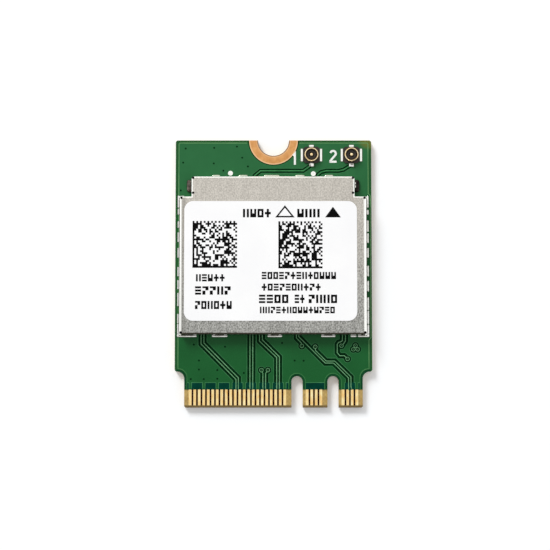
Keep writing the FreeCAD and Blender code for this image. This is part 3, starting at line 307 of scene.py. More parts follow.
def hoop(x, y, radius, half, low, high):
    """An arched ring."""
    return swept(circle(x, y, radius), arched_profile(half, low, high), closed=True)


def tiles(corners, low, high):
    """Flat oblong plates from rows of (left, south, right, north)."""
    left, south, right, north = np.array(corners, float).T
    plan = [(left, south), (right, south), (right, north), (left, north)]
    layers = [np.stack([x, y, np.full(len(x), z)], axis=1) for z in (low, high) for x, y in plan]
    points = np.stack(layers, axis=1).reshape(-1, 3)
    sides = [(0, 1, 5, 4), (1, 2, 6, 5), (2, 3, 7, 6), (3, 0, 4, 7), (3, 2, 1, 0), (4, 5, 6, 7)]
    faces = np.array(sides)[None] + 8 * np.arange(len(left))[:, None, None]
    return points, faces.reshape(-1, 4).tolist()


def piece(name, shells, material, smooth=False):
    """One named piece of the card, made of shells."""
    points, faces = joined(shells)
    mesh = bpy.data.meshes.new(name)
    mesh.from_pydata((points * MM).tolist(), [], faces)
    mesh.polygons.foreach_set("use_smooth", np.full(len(mesh.polygons), smooth))
    mesh.materials.append(material)
    thing = bpy.data.objects.new(name, mesh)
    bpy.context.scene.collection.objects.link(thing)
    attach(thing, "root")


def arc(x, y, radius, start, end, count=9):
    """Points of an arc, from the centre, radius and two angles in degrees."""
    turn = np.radians(np.linspace(start, end, count))
    return np.stack([x + radius * np.cos(turn), y + radius * np.sin(turn)], axis=1)


# Node helpers

def put(tree, kind, inputs=None, **settings):
    """Add a node; each input is given by its name or number, as a value or as what feeds it."""
    node = tree.nodes.new(kind)
    for name, setting in settings.items():
        setattr(node, name, setting)
    for key, source in (inputs or {}).items():
        if isinstance(source, bpy.types.NodeSocket):
            tree.links.new(source, node.inputs[key])
        else:
            node.inputs[key].default_value = source
    return node


def maths(tree, operation, first, second=0.0):
    """The result of one sum."""
    return put(tree, "ShaderNodeMath", {0: first, 1: second}, operation=operation).outputs[0]


def weighted(tree, first, share, second, other):
    """Two values added up, each times its share."""
    parts = [maths(tree, "MULTIPLY", first, share), maths(tree, "MULTIPLY", second, other)]
    return maths(tree, "ADD", *parts)


def ramp(tree, value, low, high, start=0.0, end=1.0):
    """A value stretched smoothly from one range to another."""
    return put(tree, "ShaderNodeMapRange",
               {"Value": value, "From Min": low, "From Max": high, "To Min": start, "To Max": end},
               interpolation_type="SMOOTHSTEP").outputs["Result"]


def fade(tree, value, low, high, start=0.0, end=1.0):
    """A smooth change along a coordinate or a distance, whose range is in millimetres."""
    return ramp(tree, value, low * MM, high * MM, start, end)


def mixed(tree, factor, first, second):
    """One colour turned into another by a factor."""
    return put(tree, "ShaderNodeMix", {0: factor, 6: first, 7: second}, data_type="RGBA").outputs[2]


def colour(red, green, blue):
    """A colour written as on a screen, 0 to 255, turned into light values."""
    shares = [part / 255 for part in (red, green, blue)]
    linear = [part / 12.92 if part <= 0.04045 else ((part + 0.055) / 1.055) ** 2.4 for part in shares]
    return (*linear, 1.0)


def new_group(name, inputs, outputs):
    """An empty shader group with its sockets, its entry node and its exit node."""
    group = bpy.data.node_groups.new(name, "ShaderNodeTree")
    for label, kind, default in inputs:
        socket = group.interface.new_socket(label, in_out="INPUT", socket_type=f"NodeSocket{kind}")
        if default is not None:
            socket.default_value = default
    for label, kind in outputs:
        group.interface.new_socket(label, in_out="OUTPUT", socket_type=f"NodeSocket{kind}")
    return group, group.nodes.new("NodeGroupInput"), group.nodes.new("NodeGroupOutput")


def mottle_group():
    """Cloudy value: noise whose patches have a size in millimetres and a stretch for each axis."""
    group, entry, leave = new_group(
        "mottle",
        [("Place", "Vector", None), ("Stretch", "Vector", (1, 1, 1)), ("Size", "Float", 1.0),
         ("Detail", "Float", 3.0), ("Low", "Float", 0.3), ("High", "Float", 0.7)],
        [("Value", "Float")])
    scale = maths(group, "DIVIDE", 1 / MM, entry.outputs["Size"])
    place = put(group, "ShaderNodeVectorMath",
                {0: entry.outputs["Place"], 1: entry.outputs["Stretch"]}, operation="MULTIPLY")
    noise = put(group, "ShaderNodeTexNoise", {"Vector": place.outputs[0], "Scale": scale,
                                              "Detail": entry.outputs["Detail"]})
    value = put(group, "ShaderNodeMapRange",
                {"Value": noise.outputs["Fac"], "From Min": entry.outputs["Low"],
                 "From Max": entry.outputs["High"]})
    group.links.new(value.outputs["Result"], leave.inputs["Value"])
    return group


def relief_group():
    """Fine relief: a normal bent by noise of a size and a depth in millimetres."""
    group, entry, leave = new_group(
        "relief",
        [("Place", "Vector", None), ("Size", "Float", 0.1), ("Depth", "Float", 0.002),
         ("Detail", "Float", 2.0)],
        [("Normal", "Vector")])
    scale = maths(group, "DIVIDE", 1 / MM, entry.outputs["Size"])
    depth = maths(group, "MULTIPLY", entry.outputs["Depth"], MM)
    noise = put(group, "ShaderNodeTexNoise", {"Vector": entry.outputs["Place"], "Scale": scale,
                                              "Detail": entry.outputs["Detail"]})
    bump = put(group, "ShaderNodeBump", {"Height": noise.outputs["Fac"], "Distance": depth})
    group.links.new(bump.outputs["Normal"], leave.inputs["Normal"])
    return group


GROUPS = {"mottle": mottle_group(), "relief": relief_group()}


def use(tree, name, inputs):
    """Place one of the shared groups."""
    return put(tree, "ShaderNodeGroup", inputs, node_tree=GROUPS[name]).outputs[0]


def new_material(name, **constants):
    """A material with its shader; returns the material, its tree, the shader and the place output."""
    material = bpy.data.materials.new(name)
    material.use_nodes = True
    tree = material.node_tree
    shader = tree.nodes["Principled BSDF"]
    for label, number in constants.items():
        shader.inputs[label.replace("_", " ")].default_value = number
    place = put(tree, "ShaderNodeTexCoord").outputs["Object"]
    return material, tree, shader, place


def feed(tree, shader, **sources):
    """Link outputs to the shader's sockets."""
    for label, source in sources.items():
        tree.links.new(source, shader.inputs[label.replace("_", " ")])


def coordinates(tree, place):
    """The three coordinates of a place, in metres."""
    split = put(tree, "ShaderNodeSeparateXYZ", {0: place})
    return split.outputs[0], split.outputs[1], split.outputs[2]


def laminate():
    """Board edge and bare tongue: mustard resin with woven glass and thin layers on its edge."""
    material, tree, shader, place = new_material("laminate", Roughness=0.5)
    x, y, z = coordinates(tree, place)
    weave_x = maths(tree, "SINE", maths(tree, "MULTIPLY", x, 2 * math.pi / (0.42 * MM)))
    weave_y = maths(tree, "SINE", maths(tree, "MULTIPLY", y, 2 * math.pi / (0.48 * MM)))
    layers = maths(tree, "SINE", maths(tree, "MULTIPLY", z, 2 * math.pi / (0.115 * MM)))
    weave = maths(tree, "MULTIPLY", weave_x, weave_y)
    patches = use(tree, "mottle", {"Place": place, "Size": 0.5, "Detail": 4.0})
    pattern = maths(tree, "ADD", weighted(tree, weave, 0.18, layers, 0.2), 0.25)
    factor = weighted(tree, patches, 0.5, pattern, 1.0)
    # Darker on the chamfer at the contact edge: partly the browner cut laminate, partly painted shade on
    # the south-facing chamfer.
    chamfer_tone_and_shade = fade(tree, y, -14.6, -14.85, 0.0, 0.7)
    resin = mixed(tree, factor, colour(150, 120, 62), colour(196, 166, 96))
    tone = mixed(tree, chamfer_tone_and_shade, resin, colour(112, 92, 56))
    relief = use(tree, "relief", {"Place": place, "Size": 0.12, "Depth": 0.004})
    feed(tree, shader, Base_Color=tone, Normal=relief)
    return material


def olive_edge(tree, x, y):
    """Mask of the worn rim: high at the very edge of the card and round its north-east corner."""
    aside = maths(tree, "ABSOLUTE", x)
    side = fade(tree, aside, BOARD_SIDE - 0.30, BOARD_SIDE, 0.0, 0.06)
    end = fade(tree, y, BOARD_END - 0.28, BOARD_END, 0.0, 0.1)
    across = maths(tree, "DIVIDE", maths(tree, "SUBTRACT", BOARD_SIDE * MM, x), 1.5 * MM)
    along = maths(tree, "DIVIDE", maths(tree, "SUBTRACT", BOARD_END * MM, y), 1.0 * MM)
    across, along = [maths(tree, "MULTIPLY", way, way) for way in (across, along)]
    corner = ramp(tree, maths(tree, "ADD", across, along), 0.15, 1.4, 0.9, 0.0)
    return maths(tree, "MAXIMUM", maths(tree, "MAXIMUM", side, end), corner)


def solder_mask():
    """Green film over foil: clouded green, a little yellower where it lies on bare laminate."""
    material, tree, shader, place = new_material("solder_mask", Roughness=0.34, Specular_IOR_Level=0.14)
    x, y, z = coordinates(tree, place)
    clouds = use(tree, "mottle", {"Place": place, "Size": 2.6, "Detail": 4.0, "Low": 0.25, "High": 0.75})
    specks = use(tree, "mottle", {"Place": place, "Size": 0.09, "Detail": 2.0})
    # Painted shade: both green tones are darker towards the south, away from the light.
    north = fade(tree, y, -14, 15)
    foil = mixed(tree, north, colour(17, 87, 38), colour(43, 104, 61))
    deeper = mixed(tree, north, colour(12, 77, 32), colour(37, 95, 55))
    base = mixed(tree, clouds, deeper, foil)
    grain = mixed(tree, maths(tree, "MULTIPLY", specks, 0.3), base, colour(36, 112, 58))
    lifted = fade(tree, z, GROOVE + 0.2 * GROOVE_DEPTH, MASK_TOP - 0.2 * GROOVE_DEPTH)
    under = fade(tree, z, 0.3, 0.1)
    raised = maths(tree, "MAXIMUM", lifted, under)
    film = mixed(tree, raised, colour(22, 82, 38), grain)
    tone = mixed(tree, olive_edge(tree, x, y), film, colour(104, 112, 48))
    gloss = ramp(tree, clouds, 0.0, 1.0, 0.38, 0.30)
    relief = use(tree, "relief", {"Place": place, "Size": 0.35, "Depth": 0.003})
    feed(tree, shader, Base_Color=tone, Roughness=gloss, Normal=relief)
    return material


def clouded(name, dark, light, size, roughness, gleam):
    """A film, resin or ink, softly clouded between two tones."""
    material, tree, shader, place = new_material(name, Roughness=roughness, Specular_IOR_Level=gleam)
    patches = use(tree, "mottle", {"Place": place, "Size": size})
    feed(tree, shader, Base_Color=mixed(tree, patches, dark, light))
    return material


def rim_mask():
    """Film along the rim of the pour: green with a yellow cast, fainter on the contact edge."""
    material, tree, shader, place = new_material("rim_mask", Roughness=0.32, Specular_IOR_Level=0.2)
    north = fade(tree, coordinates(tree, place)[1], -11.5, -9.5)
    patches = use(tree, "mottle", {"Place": place, "Size": 1.2})
    faint = mixed(tree, patches, colour(40, 108, 54), colour(56, 120, 64))
    clear = mixed(tree, patches, colour(84, 138, 84), colour(106, 156, 100))
    feed(tree, shader, Base_Color=mixed(tree, north, faint, clear))
    return material


def channel_mask():
    """Film pooled in the gaps beside the tracks, nearly black green, bluer by the contacts.

    The near-black beside the tracks is partly the pooled film and partly painted shade.
    """
    material, tree, shader, place = new_material("channel_mask", Roughness=0.45, Specular_IOR_Level=0.03)
    patches = use(tree, "mottle", {"Place": place, "Size": 0.6})
    inland = mixed(tree, patches, colour(0, 30, 8), colour(0, 46, 18))
    blocks = mixed(tree, patches, colour(0, 50, 38), colour(2, 64, 50))
    south = fade(tree, coordinates(tree, place)[1], -12.1, -12.3)
    tone = mixed(tree, south, inland, blocks)
    feed(tree, shader, Base_Color=tone)
    return material


def plated(name, dark, light, roughness):
    """A metal plating with fine streaks along its length and a clouded gloss."""
    material, tree, shader, place = new_material(name, Metallic=1.0, Roughness=roughness)
    streaks = use(tree, "mottle", {"Place": place, "Stretch": (14.0, 1.0, 1.0), "Detail": 3.0})
    clouds = use(tree, "mottle", {"Place": place, "Size": 0.7})
    both = weighted(tree, streaks, 0.65, clouds, 0.35)
    tone = mixed(tree, both, dark, light)
    gloss = ramp(tree, both, 0.0, 1.0, roughness + 0.08, roughness - 0.08)
    relief = use(tree, "relief", {"Place": place, "Size": 0.09, "Depth": 0.0015})
    feed(tree, shader, Base_Color=tone, Roughness=gloss, Normal=relief)
    return material


def fluxed_solder():
    """Solder of the lugs: small soft lumps, dull and bright in patches.

    The near-black tone is painted dark reflection, and painted shade makes it darker still to the east.
    """
    material, tree, shader, place = new_material("fluxed_solder", Metallic=1.0)
    patches = use(tree, "mottle", {"Place": place, "Size": 0.45, "Detail": 4.0})
    # Painted shade: darker towards the east.
    east = fade(tree, coordinates(tree, place)[0], 0.0, 1.0, 0.0, 0.75)
    stained = mixed(tree, patches, colour(8, 6, 6), colour(116, 106, 98))
    tone = mixed(tree, east, stained, colour(6, 5, 5))
    gloss = ramp(tree, patches, 0.0, 1.0, 0.41, 0.16)
    relief = use(tree, "relief", {"Place": place, "Size": 0.22, "Depth": 0.05})
    feed(tree, shader, Base_Color=tone, Roughness=gloss, Normal=relief)
    return material


def shield_sheet():
    """Nickel silver sheet: matt grain with pale and dark specks, and a painted highlight on its folds.

    The painted highlight reaches a little inwards along both sides. The flat top has painted shade
    to the south and west, and the southern fold has painted shade in brown. Below the fold the sheet
    is matt again.
    """
    material, tree, shader, place = new_material("shield_sheet", Metallic=1.0, Roughness=0.4)
    x, y, z = coordinates(tree, place)
    grain = use(tree, "mottle", {"Place": place, "Stretch": (1.3, 0.8, 1.0), "Size": 0.16,
                                 "Detail": 3.0, "Low": 0.36, "High": 0.64})
    rolled = use(tree, "mottle", {"Place": place, "Stretch": (5.0, 0.8, 1.0), "Size": 1.6,
                                  "Detail": 4.0})
    # Painted shade: the flat top is darker towards the south and lighter to the north, where the light
    # comes from.
    north = fade(tree, y, -8, 10)
    both = weighted(tree, grain, 0.75, rolled, 0.25)
    dark = mixed(tree, north, colour(98, 98, 94), colour(166, 161, 153))
    light = mixed(tree, north, colour(196, 196, 191), colour(211, 206, 197))
    # Painted shade along the west strip of the flat top.
    west = fade(tree, x, LID_LOW.x + 0.9, LID_LOW.x + 0.5, 0.0, 0.4)
    flat = mixed(tree, west, mixed(tree, both, dark, light), colour(118, 116, 110))
    # Painted highlight on the folds, reaching a little inwards along both sides.
    bend = fade(tree, z, LID_HIGH.z - 0.004, LID_HIGH.z - 0.014)
    inner_side_highlights = maths(tree, "MAXIMUM",
                 fade(tree, x, LID_HIGH.x - 0.31, LID_HIGH.x - 0.28, 0.0, 0.9),
                 fade(tree, x, LID_LOW.x + 0.28, LID_LOW.x + 0.25, 0.0, 0.6))
    high = fade(tree, z, LID_HIGH.z - 0.5, LID_HIGH.z - 0.35)
    fold = maths(tree, "MULTIPLY", maths(tree, "MAXIMUM", bend, inner_side_highlights), high)
    # Painted shade: the southern fold is brown instead of bright.
    south = fade(tree, y, LID_LOW.y + 0.30, LID_LOW.y + 0.16)
    fold_highlight_and_shade = mixed(tree, south, colour(255, 255, 250), colour(120, 108, 96))
    tone = mixed(tree, fold, flat, fold_highlight_and_shade)
    matt = ramp(tree, grain, 0.0, 1.0, 0.46, 0.36)
    gloss = maths(tree, "SUBTRACT", matt, maths(tree, "MULTIPLY", fold, 0.26))
    relief = use(tree, "relief", {"Place": place, "Size": 0.07, "Depth": 0.0016})
    feed(tree, shader, Base_Color=tone, Roughness=gloss, Normal=relief)
    return material


def ring_copper():
    """Coated copper of the screw ring: clouded, paler along its rims and dark at the very edge."""
    material, tree, shader, place = new_material("bare_copper", Metallic=1.0, Roughness=0.42)
    x, y, _ = coordinates(tree, place)
    along = maths(tree, "SUBTRACT", y, BOARD_END * MM)
    square = maths(tree, "ADD", maths(tree, "MULTIPLY", x, x), maths(tree, "MULTIPLY", along, along))
    radius = maths(tree, "SQRT", square)
    patches = use(tree, "mottle", {"Place": place, "Size": 0.5})
    metal = mixed(tree, patches, colour(196, 139, 85), colour(216, 162, 104))
    inner = fade(tree, radius, 1.84, 2.0, 0.5, 0.0)
    outer = fade(tree, radius, 2.58, 2.68, 0.0, 0.6)
    pale = mixed(tree, maths(tree, "MAXIMUM", inner, outer), metal, colour(240, 206, 164))
    dark = fade(tree, radius, 1.81, 1.87, 0.85, 0.0)
    tone = mixed(tree, dark, pale, colour(96, 66, 50))
    relief = use(tree, "relief", {"Place": place, "Size": 0.09, "Depth": 0.0015})
    feed(tree, shader, Base_Color=tone, Normal=relief)
    return material


def tin():
    """Bright solder, paler green on the few lands north of the shield and dull round the jacks.

    Beside the shield the outer part of each land lies under the green film, and the solder has its
    highest gloss.
    """
    material, tree, shader, place = new_material("tin", Specular_IOR_Level=0.1)
    x, y, _ = coordinates(tree, place)
    patches = use(tree, "mottle", {"Place": place, "Size": 0.4, "Detail": 4.0})
    bright = mixed(tree, patches, colour(228, 228, 220), colour(255, 255, 252))
    dull = mixed(tree, patches, colour(168, 176, 156), colour(214, 220, 202))
    out = maths(tree, "ABSOLUTE", x)
    aside = fade(tree, out, 7.4, 7.6, 1.0, 0.0)
    calm = fade(tree, out, 9.9, 10.0, 1.0, 0.55)
    north = maths(tree, "MULTIPLY", fade(tree, y, 10.4, 10.6), fade(tree, y, 11.6, 11.4))
    lands = mixed(tree, maths(tree, "MULTIPLY", aside, north), bright, dull)
    metal = mixed(tree, fade(tree, y, 11.7, 11.9), lands, colour(84, 100, 74))
    bare = maths(tree, "MULTIPLY", fade(tree, x, EAST_BEAD + 0.1, EAST_BEAD + 0.08),
                 fade(tree, x, WEST_BEAD - 0.09, WEST_BEAD - 0.07))
    tone = mixed(tree, bare, colour(38, 74, 44), metal)
    gloss = maths(tree, "MULTIPLY", ramp(tree, patches, 0.0, 1.0, 0.32, 0.14), calm)
    depth = maths(tree, "MULTIPLY", 0.012, calm)
    relief = use(tree, "relief", {"Place": place, "Size": 0.22, "Depth": depth})
    feed(tree, shader, Base_Color=tone, Metallic=bare, Roughness=gloss, Normal=relief)
    return material


def moulded(name, dark, light, roughness):
    """Moulded resin or fired ceramic: fine grain and a soft sheen."""
    material, tree, shader, place = new_material(name, Roughness=roughness, Specular_IOR_Level=0.35)
    patches = use(tree, "mottle", {"Place": place, "Size": 0.2, "Detail": 4.0})
    tone = mixed(tree, patches, dark, light)
    gloss = ramp(tree, patches, 0.0, 1.0, roughness + 0.08, roughness - 0.08)
    relief = use(tree, "relief", {"Place": place, "Size": 0.05, "Depth": 0.0015})
    feed(tree, shader, Base_Color=tone, Roughness=gloss, Normal=relief)
    return material


def label_paper():
    """White film with a faint fibre and soft unevenness."""
    material, tree, shader, place = new_material("label_paper", Roughness=0.45, Specular_IOR_Level=0.3)
    patches = use(tree, "mottle", {"Place": place, "Size": 3.0, "Detail": 5.0})
    tone = mixed(tree, patches, colour(250, 250, 251), colour(254, 254, 254))
    relief = use(tree, "relief", {"Place": place, "Size": 0.25, "Depth": 0.001})
    feed(tree, shader, Base_Color=tone, Normal=relief)
    return material


def jack_metal():
    """Jack plating: pale gold, with a painted highlight on the ring's crown and the pin and painted
    shade in brown down their sides.

    The tabs below are tinned white between duller ends.
    """
    material, tree, shader, place = new_material("jack_metal", Metallic=1.0, Roughness=0.28)
    x, y, z = coordinates(tree, place)
    high = fade(tree, z, 0.90, 1.0)
    patches = use(tree, "mottle", {"Place": place, "Size": 0.3})
    crown = mixed(tree, patches, colour(236, 204, 146), colour(255, 240, 204))
    aside, beyond = [maths(tree, "ABSOLUTE", maths(tree, "SUBTRACT", x, jack * MM)) for jack in JACKS]
    reach = maths(tree, "MINIMUM", aside, beyond)
    along = maths(tree, "ABSOLUTE", maths(tree, "SUBTRACT", y, JACK_Y * MM))
    pin = fade(tree, maths(tree, "MAXIMUM", reach, along), 0.3, 0.25)
    # Painted shade: brown below the ring's crown; the crown and the pin keep the bright painted
    # highlight.
    side = maths(tree, "MAXIMUM", pin, fade(tree, z, 1.28, 1.35))
    gold = mixed(tree, side, colour(112, 82, 50), crown)
    white = mixed(tree, patches, colour(240, 239, 232), colour(255, 255, 252))
    inner = maths(tree, "MULTIPLY", fade(tree, reach, 0.99, 0.95), fade(tree, reach, 0.6, 0.7))
    spots = use(tree, "mottle", {"Place": place, "Size": 0.25, "Low": 0.45, "High": 0.55})
    south = fade(tree, y, JACK_Y - 0.86, JACK_Y - 0.9, 0.0, 0.8)
    dull = maths(tree, "MAXIMUM", inner, maths(tree, "MULTIPLY", spots, south))
    ends = maths(tree, "MAXIMUM", fade(tree, reach, 1.22, 1.26), dull)
    tone = mixed(tree, high, mixed(tree, ends, white, colour(70, 66, 52)), gold)
    relief = use(tree, "relief", {"Place": place, "Size": 0.12, "Depth": 0.002})
    feed(tree, shader, Base_Color=tone, Normal=relief)
    return material


FINISHES = {
    "laminate": laminate(),
    "copper": plated("copper", colour(150, 90, 52), colour(196, 128, 80), 0.35),
    "solder_mask": solder_mask(),
    "gold": plated("gold", colour(234, 172, 70), colour(255, 248, 196), 0.18),
    "bare_copper": ring_copper(),
    "tin": tin(),
    "fluxed_solder": fluxed_solder(),
    "shield_sheet": shield_sheet(),
    "label_paper": label_paper(),
    "jack_metal": jack_metal(),
    "black_moulding": moulded("black_moulding", colour(28, 22, 17), colour(52, 42, 33), 0.36),
    "chip_mould": moulded("chip_mould", colour(24, 24, 26), colour(44, 44, 46), 0.5),
    "can_metal": plated("can_metal", colour(186, 182, 170), colour(216, 212, 202), 0.34),
    "ferrite": moulded("ferrite", colour(58, 58, 60), colour(88, 88, 90), 0.55),
    "ceramic": moulded("ceramic", colour(150, 126, 100), colour(182, 156, 126), 0.5),
}

# Finishes of the scene's own pieces
TRACK = clouded("track_mask", colour(92, 152, 102), colour(118, 174, 126), 0.8, 0.3, 0.2)
FEED = clouded("antenna_film", colour(46, 118, 66), colour(70, 140, 86), 0.9, 0.34, 0.08)
SEAM = clouded("seam_film", colour(50, 116, 68), colour(74, 136, 90), 0.9, 0.34, 0.08)
RIM_SHADE = clouded("rim_shade", colour(0, 56, 26), colour(14, 72, 38), 0.9, 0.34, 0.08)
# Painted shade between the contact fingers.
FINGER_GAP_SHADE = clouded("finger_gap_shade", colour(14, 2, 0), colour(62, 32, 8), 0.4, 0.55, 0.08)
WHITE_INK = clouded("white_ink", colour(236, 238, 234), colour(248, 249, 246), 0.3, 0.5, 0.04)
# Black ink of the label print, also used as painted shade in the lid's corner reliefs.
BLACK_INK_AND_SHADE = clouded("black_ink_and_shade", colour(1, 1, 1), colour(9, 9, 9), 0.3, 0.5, 0.04)
RIM_FILM = rim_mask()
CHANNEL = channel_mask()
# Dark bronze tone used as painted shade on the jacks' ring lips.
LIP_SHADE = plated("painted_lip_shade", colour(64, 46, 28), colour(104, 78, 48), 0.4)
# Brown tone used as painted shade along the foot of the lid.
LID_FOOT_SHADE = moulded("lid_foot_shade", colour(30, 24, 16), colour(84, 74, 54), 0.4)

for entry in frame["record"]["subparts"]:
    node = frame["nodes"][entry["node"]]
    for holder in node.material_slots:
        holder.link = "OBJECT"
        holder.material = FINISHES[entry["material_slot"]]


def clear_of_vias(run, gap):
    """The run with each end that lies on a via drawn back by the gap."""
    run = np.array(run, float)
    for end, inner in ((0, 1), (-1, -2)):
        if tuple(run[end]) in SIGNAL_VIAS:
            back = run[inner] - run[end]
            run[end] += back * gap / np.linalg.norm(back)
    return run


def build_tracks():
    """Pale arched film over every track, and a pale hoop round a small dot at every via.

    The film over the antenna runs is thicker and greener.
    """
    low, high = CHANNEL_TOP, TRACK_TOP
    runs = [clear_of_vias(run, VIA_RADIUS) for run in SIGNAL_RUNS]
    shells = [ridge(run, TRACK_HALF, low, high) for run in runs]
    shells += [hoop(x, y, VIA_RADIUS - 0.01, VIA_HOOP_HALF, low, high) for x, y in SIGNAL_VIAS]
    shells += [disc(x, y, VIA_DOT, low, low + 0.006, 8) for x, y in SIGNAL_VIAS]
    piece("track_film", shells, TRACK)
    feeds = [ridge(run, 1.5 * TRACK_HALF, low, high) for run in ANTENNA_RUNS]
    piece("antenna_film", feeds, FEED)


def dark_fields():
    """The bare fields between the tails of the pour, as (left, south, right, north)."""
    spans = []
    for start, end in TONGUES:
        tails = [x for x in GROUND_TAILS if start < x < end]
        edges = [start] + [x + side * FINGER_WIDTH / 2 for x in tails for side in (-1, 1)] + [end]
        spans += [(edges[i], edges[i + 1]) for i in range(0, len(edges), 2)
                  if edges[i + 1] - edges[i] > 0.1]
    return [(left, MASK_END, right, POUR_END - 0.01) for left, right in spans]


def gap_shells(signal, antenna, via, low, high, step):
    """Bands along both kinds of track, by their half widths, and discs of a radius round the vias.

    Each lies a step above the one before, so that no two faces coincide where they cross.
    """
    count = len(SIGNAL_RUNS)
    levels = high + step * np.arange(count + len(SIGNAL_VIAS))
    shells = [band(run, signal, low, level) for run, level in zip(SIGNAL_RUNS, levels)]
    shells += [band(run, antenna, low, high) for run in ANTENNA_RUNS]
    shells += [disc(x, y, via, low, level) for (x, y), level in zip(SIGNAL_VIAS, levels[count:])]
    return shells


def build_channels():
    """Dark film in the gaps beside the tracks, partly painted shade, round the vias and between the
    tails.
    """
    low, high = FILM_FOOT, CHANNEL_TOP
    signal, antenna = SIGNAL_CLEAR + CHANNEL_LAP, ANTENNA_CLEAR + CHANNEL_LAP
    shells = gap_shells(signal, antenna, VIA_CLEAR - 0.01, low, high, LAYER)
    shells.append(tiles(dark_fields(), low, high - LAYER))
    shells += [tiles([(start, MASK_END + 0.01, end, MASK_END + 0.08)], low, TRACK_TOP)
               for start, end in TONGUES]
    piece("channel_film", shells, CHANNEL)


def build_seams():
    """Paler film along the outer edges of the gaps: the same lines as the gaps, wider and lower."""
    low, high = SEAM_FOOT, SEAM_TOP
    signal, antenna = SIGNAL_CLEAR + SIGNAL_SEAM, ANTENNA_CLEAR + ANTENNA_SEAM
    shells = gap_shells(signal, antenna, VIA_CLEAR + VIA_SEAM, low, high, LAYER / 2)
    for left, south, right, north in dark_fields():
        west, east, end = left - FIELD_SEAM, right + FIELD_SEAM, north + FIELD_SEAM
        line = [(west, south), (west, end), (east, end), (east, south)]
        shells.append(band(line, FIELD_SEAM_HALF, low, high))
    piece("seam_film", shells, SEAM)


def notch_lines(reach, count):
    """A line round each key notch, at a distance from its middle, with both legs to the mask's end."""
    lines = []
    for x in KEYS:
        feet = [[(x + side * reach, MASK_END + 0.02)] for side in (-1, 1)]
        lines.append(np.concatenate([feet[0], arc(x, KEY_ARCH, reach, 180, 0, count), feet[1]]))
    return lines


def build_rim():
    """Pale lines along the rim of the copper pour: sides, shoulders and key notches.

    East of the shield the line runs further out, round the tinned lands.
    """
    side, top = BOARD_SIDE - RIM - 0.06, BOARD_END - RIM
    tongue, shoulder = TONGUE_HALF - RIM, SHOULDER_Y + RIM
    bend = SHOULDER_RADIUS + RIM * 0.5
    lines = notch_lines(KEY_HALF + RIM, 13)
    for sign in (-1, 1):
        gap, outer = (3.0, side) if sign < 0 else (2.95, BOARD_SIDE - 0.13)
        line = np.concatenate([
            [(gap, top), (side - 0.15, top)],
            arc(side - 0.15, top - 0.15, 0.15, 90, 0, 4)[1:],
            [(side, LID_STEP + 0.5), (outer, LID_STEP + 0.2), (outer, LID_LOW.y - 0.3),
             (side, LID_LOW.y - 0.6), (side, shoulder)],
            [(tongue + bend, shoulder)],
            arc(tongue + bend, shoulder - bend, bend, 90, 180, 7)[1:],
            [(tongue, MASK_END + 0.02)],
        ])
        lines.append(line * (sign, 1))
    shells = [ridge(line, RIM_HALF, SEAM_FOOT, RIM_TOP) for line in lines]
    piece("pour_rim", shells, RIM_FILM, smooth=True)


def build_rim_shade():
    """Deeper film between the rim of the pour and the edge: keys, tongue and shoulders."""
    inner, shoulder = TONGUE_HALF - SHADE_MIDDLE, SHOULDER_Y + SHADE_MIDDLE
    bend = SHOULDER_RADIUS + SHADE_MIDDLE
    corner = arc(inner + bend, shoulder - bend, bend, 90, 180, 9)
    line = np.concatenate([[(BOARD_SIDE - 0.2, shoulder)], corner, [(inner, MASK_END + 0.02)]])
    lines = notch_lines(KEY_HALF + SHADE_MIDDLE, 17)
    lines += [(line * (sign, 1))[::sign] for sign in (-1, 1)]
    shells = [band(line, SHADE_HALF, SEAM_FOOT, CHANNEL_TOP) for line in lines]
    piece("rim_shade", shells, RIM_SHADE)


def build_ring_lips():
    """Painted shade: a dark hoop on the inner lip of each jack's ring."""
    low, high = JACK_TOP - 0.004, JACK_TOP + 0.004
    lips = [hoop(x, JACK_Y, RING_LIP, RING_LIP_HALF, low, high) for x in JACKS]
    piece("ring_lip_shade", lips, LIP_SHADE)


def build_finger_gaps():
    """Painted shade: dark strips between neighbouring fingers, both faces."""
    strips = []
    half = (PIN_STEP - FINGER_WIDTH) / 2 + GAP_SHADE_LAP
    for groups, low, high in ((TOP_GROUPS, BARE_TOP - 0.001, BARE_TOP + GAP_SHADE_RISE),
                              (BOTTOM_GROUPS, BARE_LOW - GAP_SHADE_RISE, BARE_LOW + 0.001)):
        for first, last in groups:
            middles = np.arange(first - PIN_STEP / 2, last, -PIN_STEP)
            rows = [(x - half, FINGER_SPAN[0], x + half, FINGER_SPAN[1]) for x in middles]
            strips.append(tiles(rows, low, high))
    piece("finger_gaps", strips, FINGER_GAP_SHADE)


def build_finger_plating():
    """A low dome of plating on every contact finger, both faces."""
    shells = []
    half = FINGER_WIDTH / 2 - 0.02
    faces = (TOP_GROUPS, BARE_TOP + FINGER_TOP, 1), (BOTTOM_GROUPS, BARE_LOW - FINGER_TOP, -1)
    for groups, foot, up in faces:
        dome = arched_profile(half, foot, foot + up * PLATING_RISE)
        for first, last in groups:
            for x in np.arange(first, last - 0.01, -PIN_STEP):
                span = [(x, FINGER_SPAN[0] + 0.01), (x, FINGER_SPAN[1] - 0.005)]
                shells.append(swept(span[::up], dome))
    piece("finger_plating", shells, FINISHES["gold"])


def build_reliefs():
    """Painted shade: dark discs that fill the small round corner reliefs of the lid."""
    half = (LID_HIGH.x - LID_LOW.x) / 2
    level = LID_HIGH.z + 0.002
    places = []
    for side in (-1, 1):
        places += [(side * (half - RELIEF_INSET), LID_LOW.y + RELIEF_INSET),
                   (side * (half - RELIEF_INSET), LID_STEP - RELIEF_INSET),
                   (side * (LID_NARROW - RELIEF_INSET), LID_HIGH.y - RELIEF_INSET),
                   (side * (LID_NARROW - RELIEF_INSET), LID_STEP + 2 * RELIEF_INSET)]
    discs = [disc(LID_X + x, y, RELIEF_RADIUS + 0.02, level - 0.02, level, 20) for x, y in places]
    piece("relief_shade_plugs", discs, BLACK_INK_AND_SHADE)


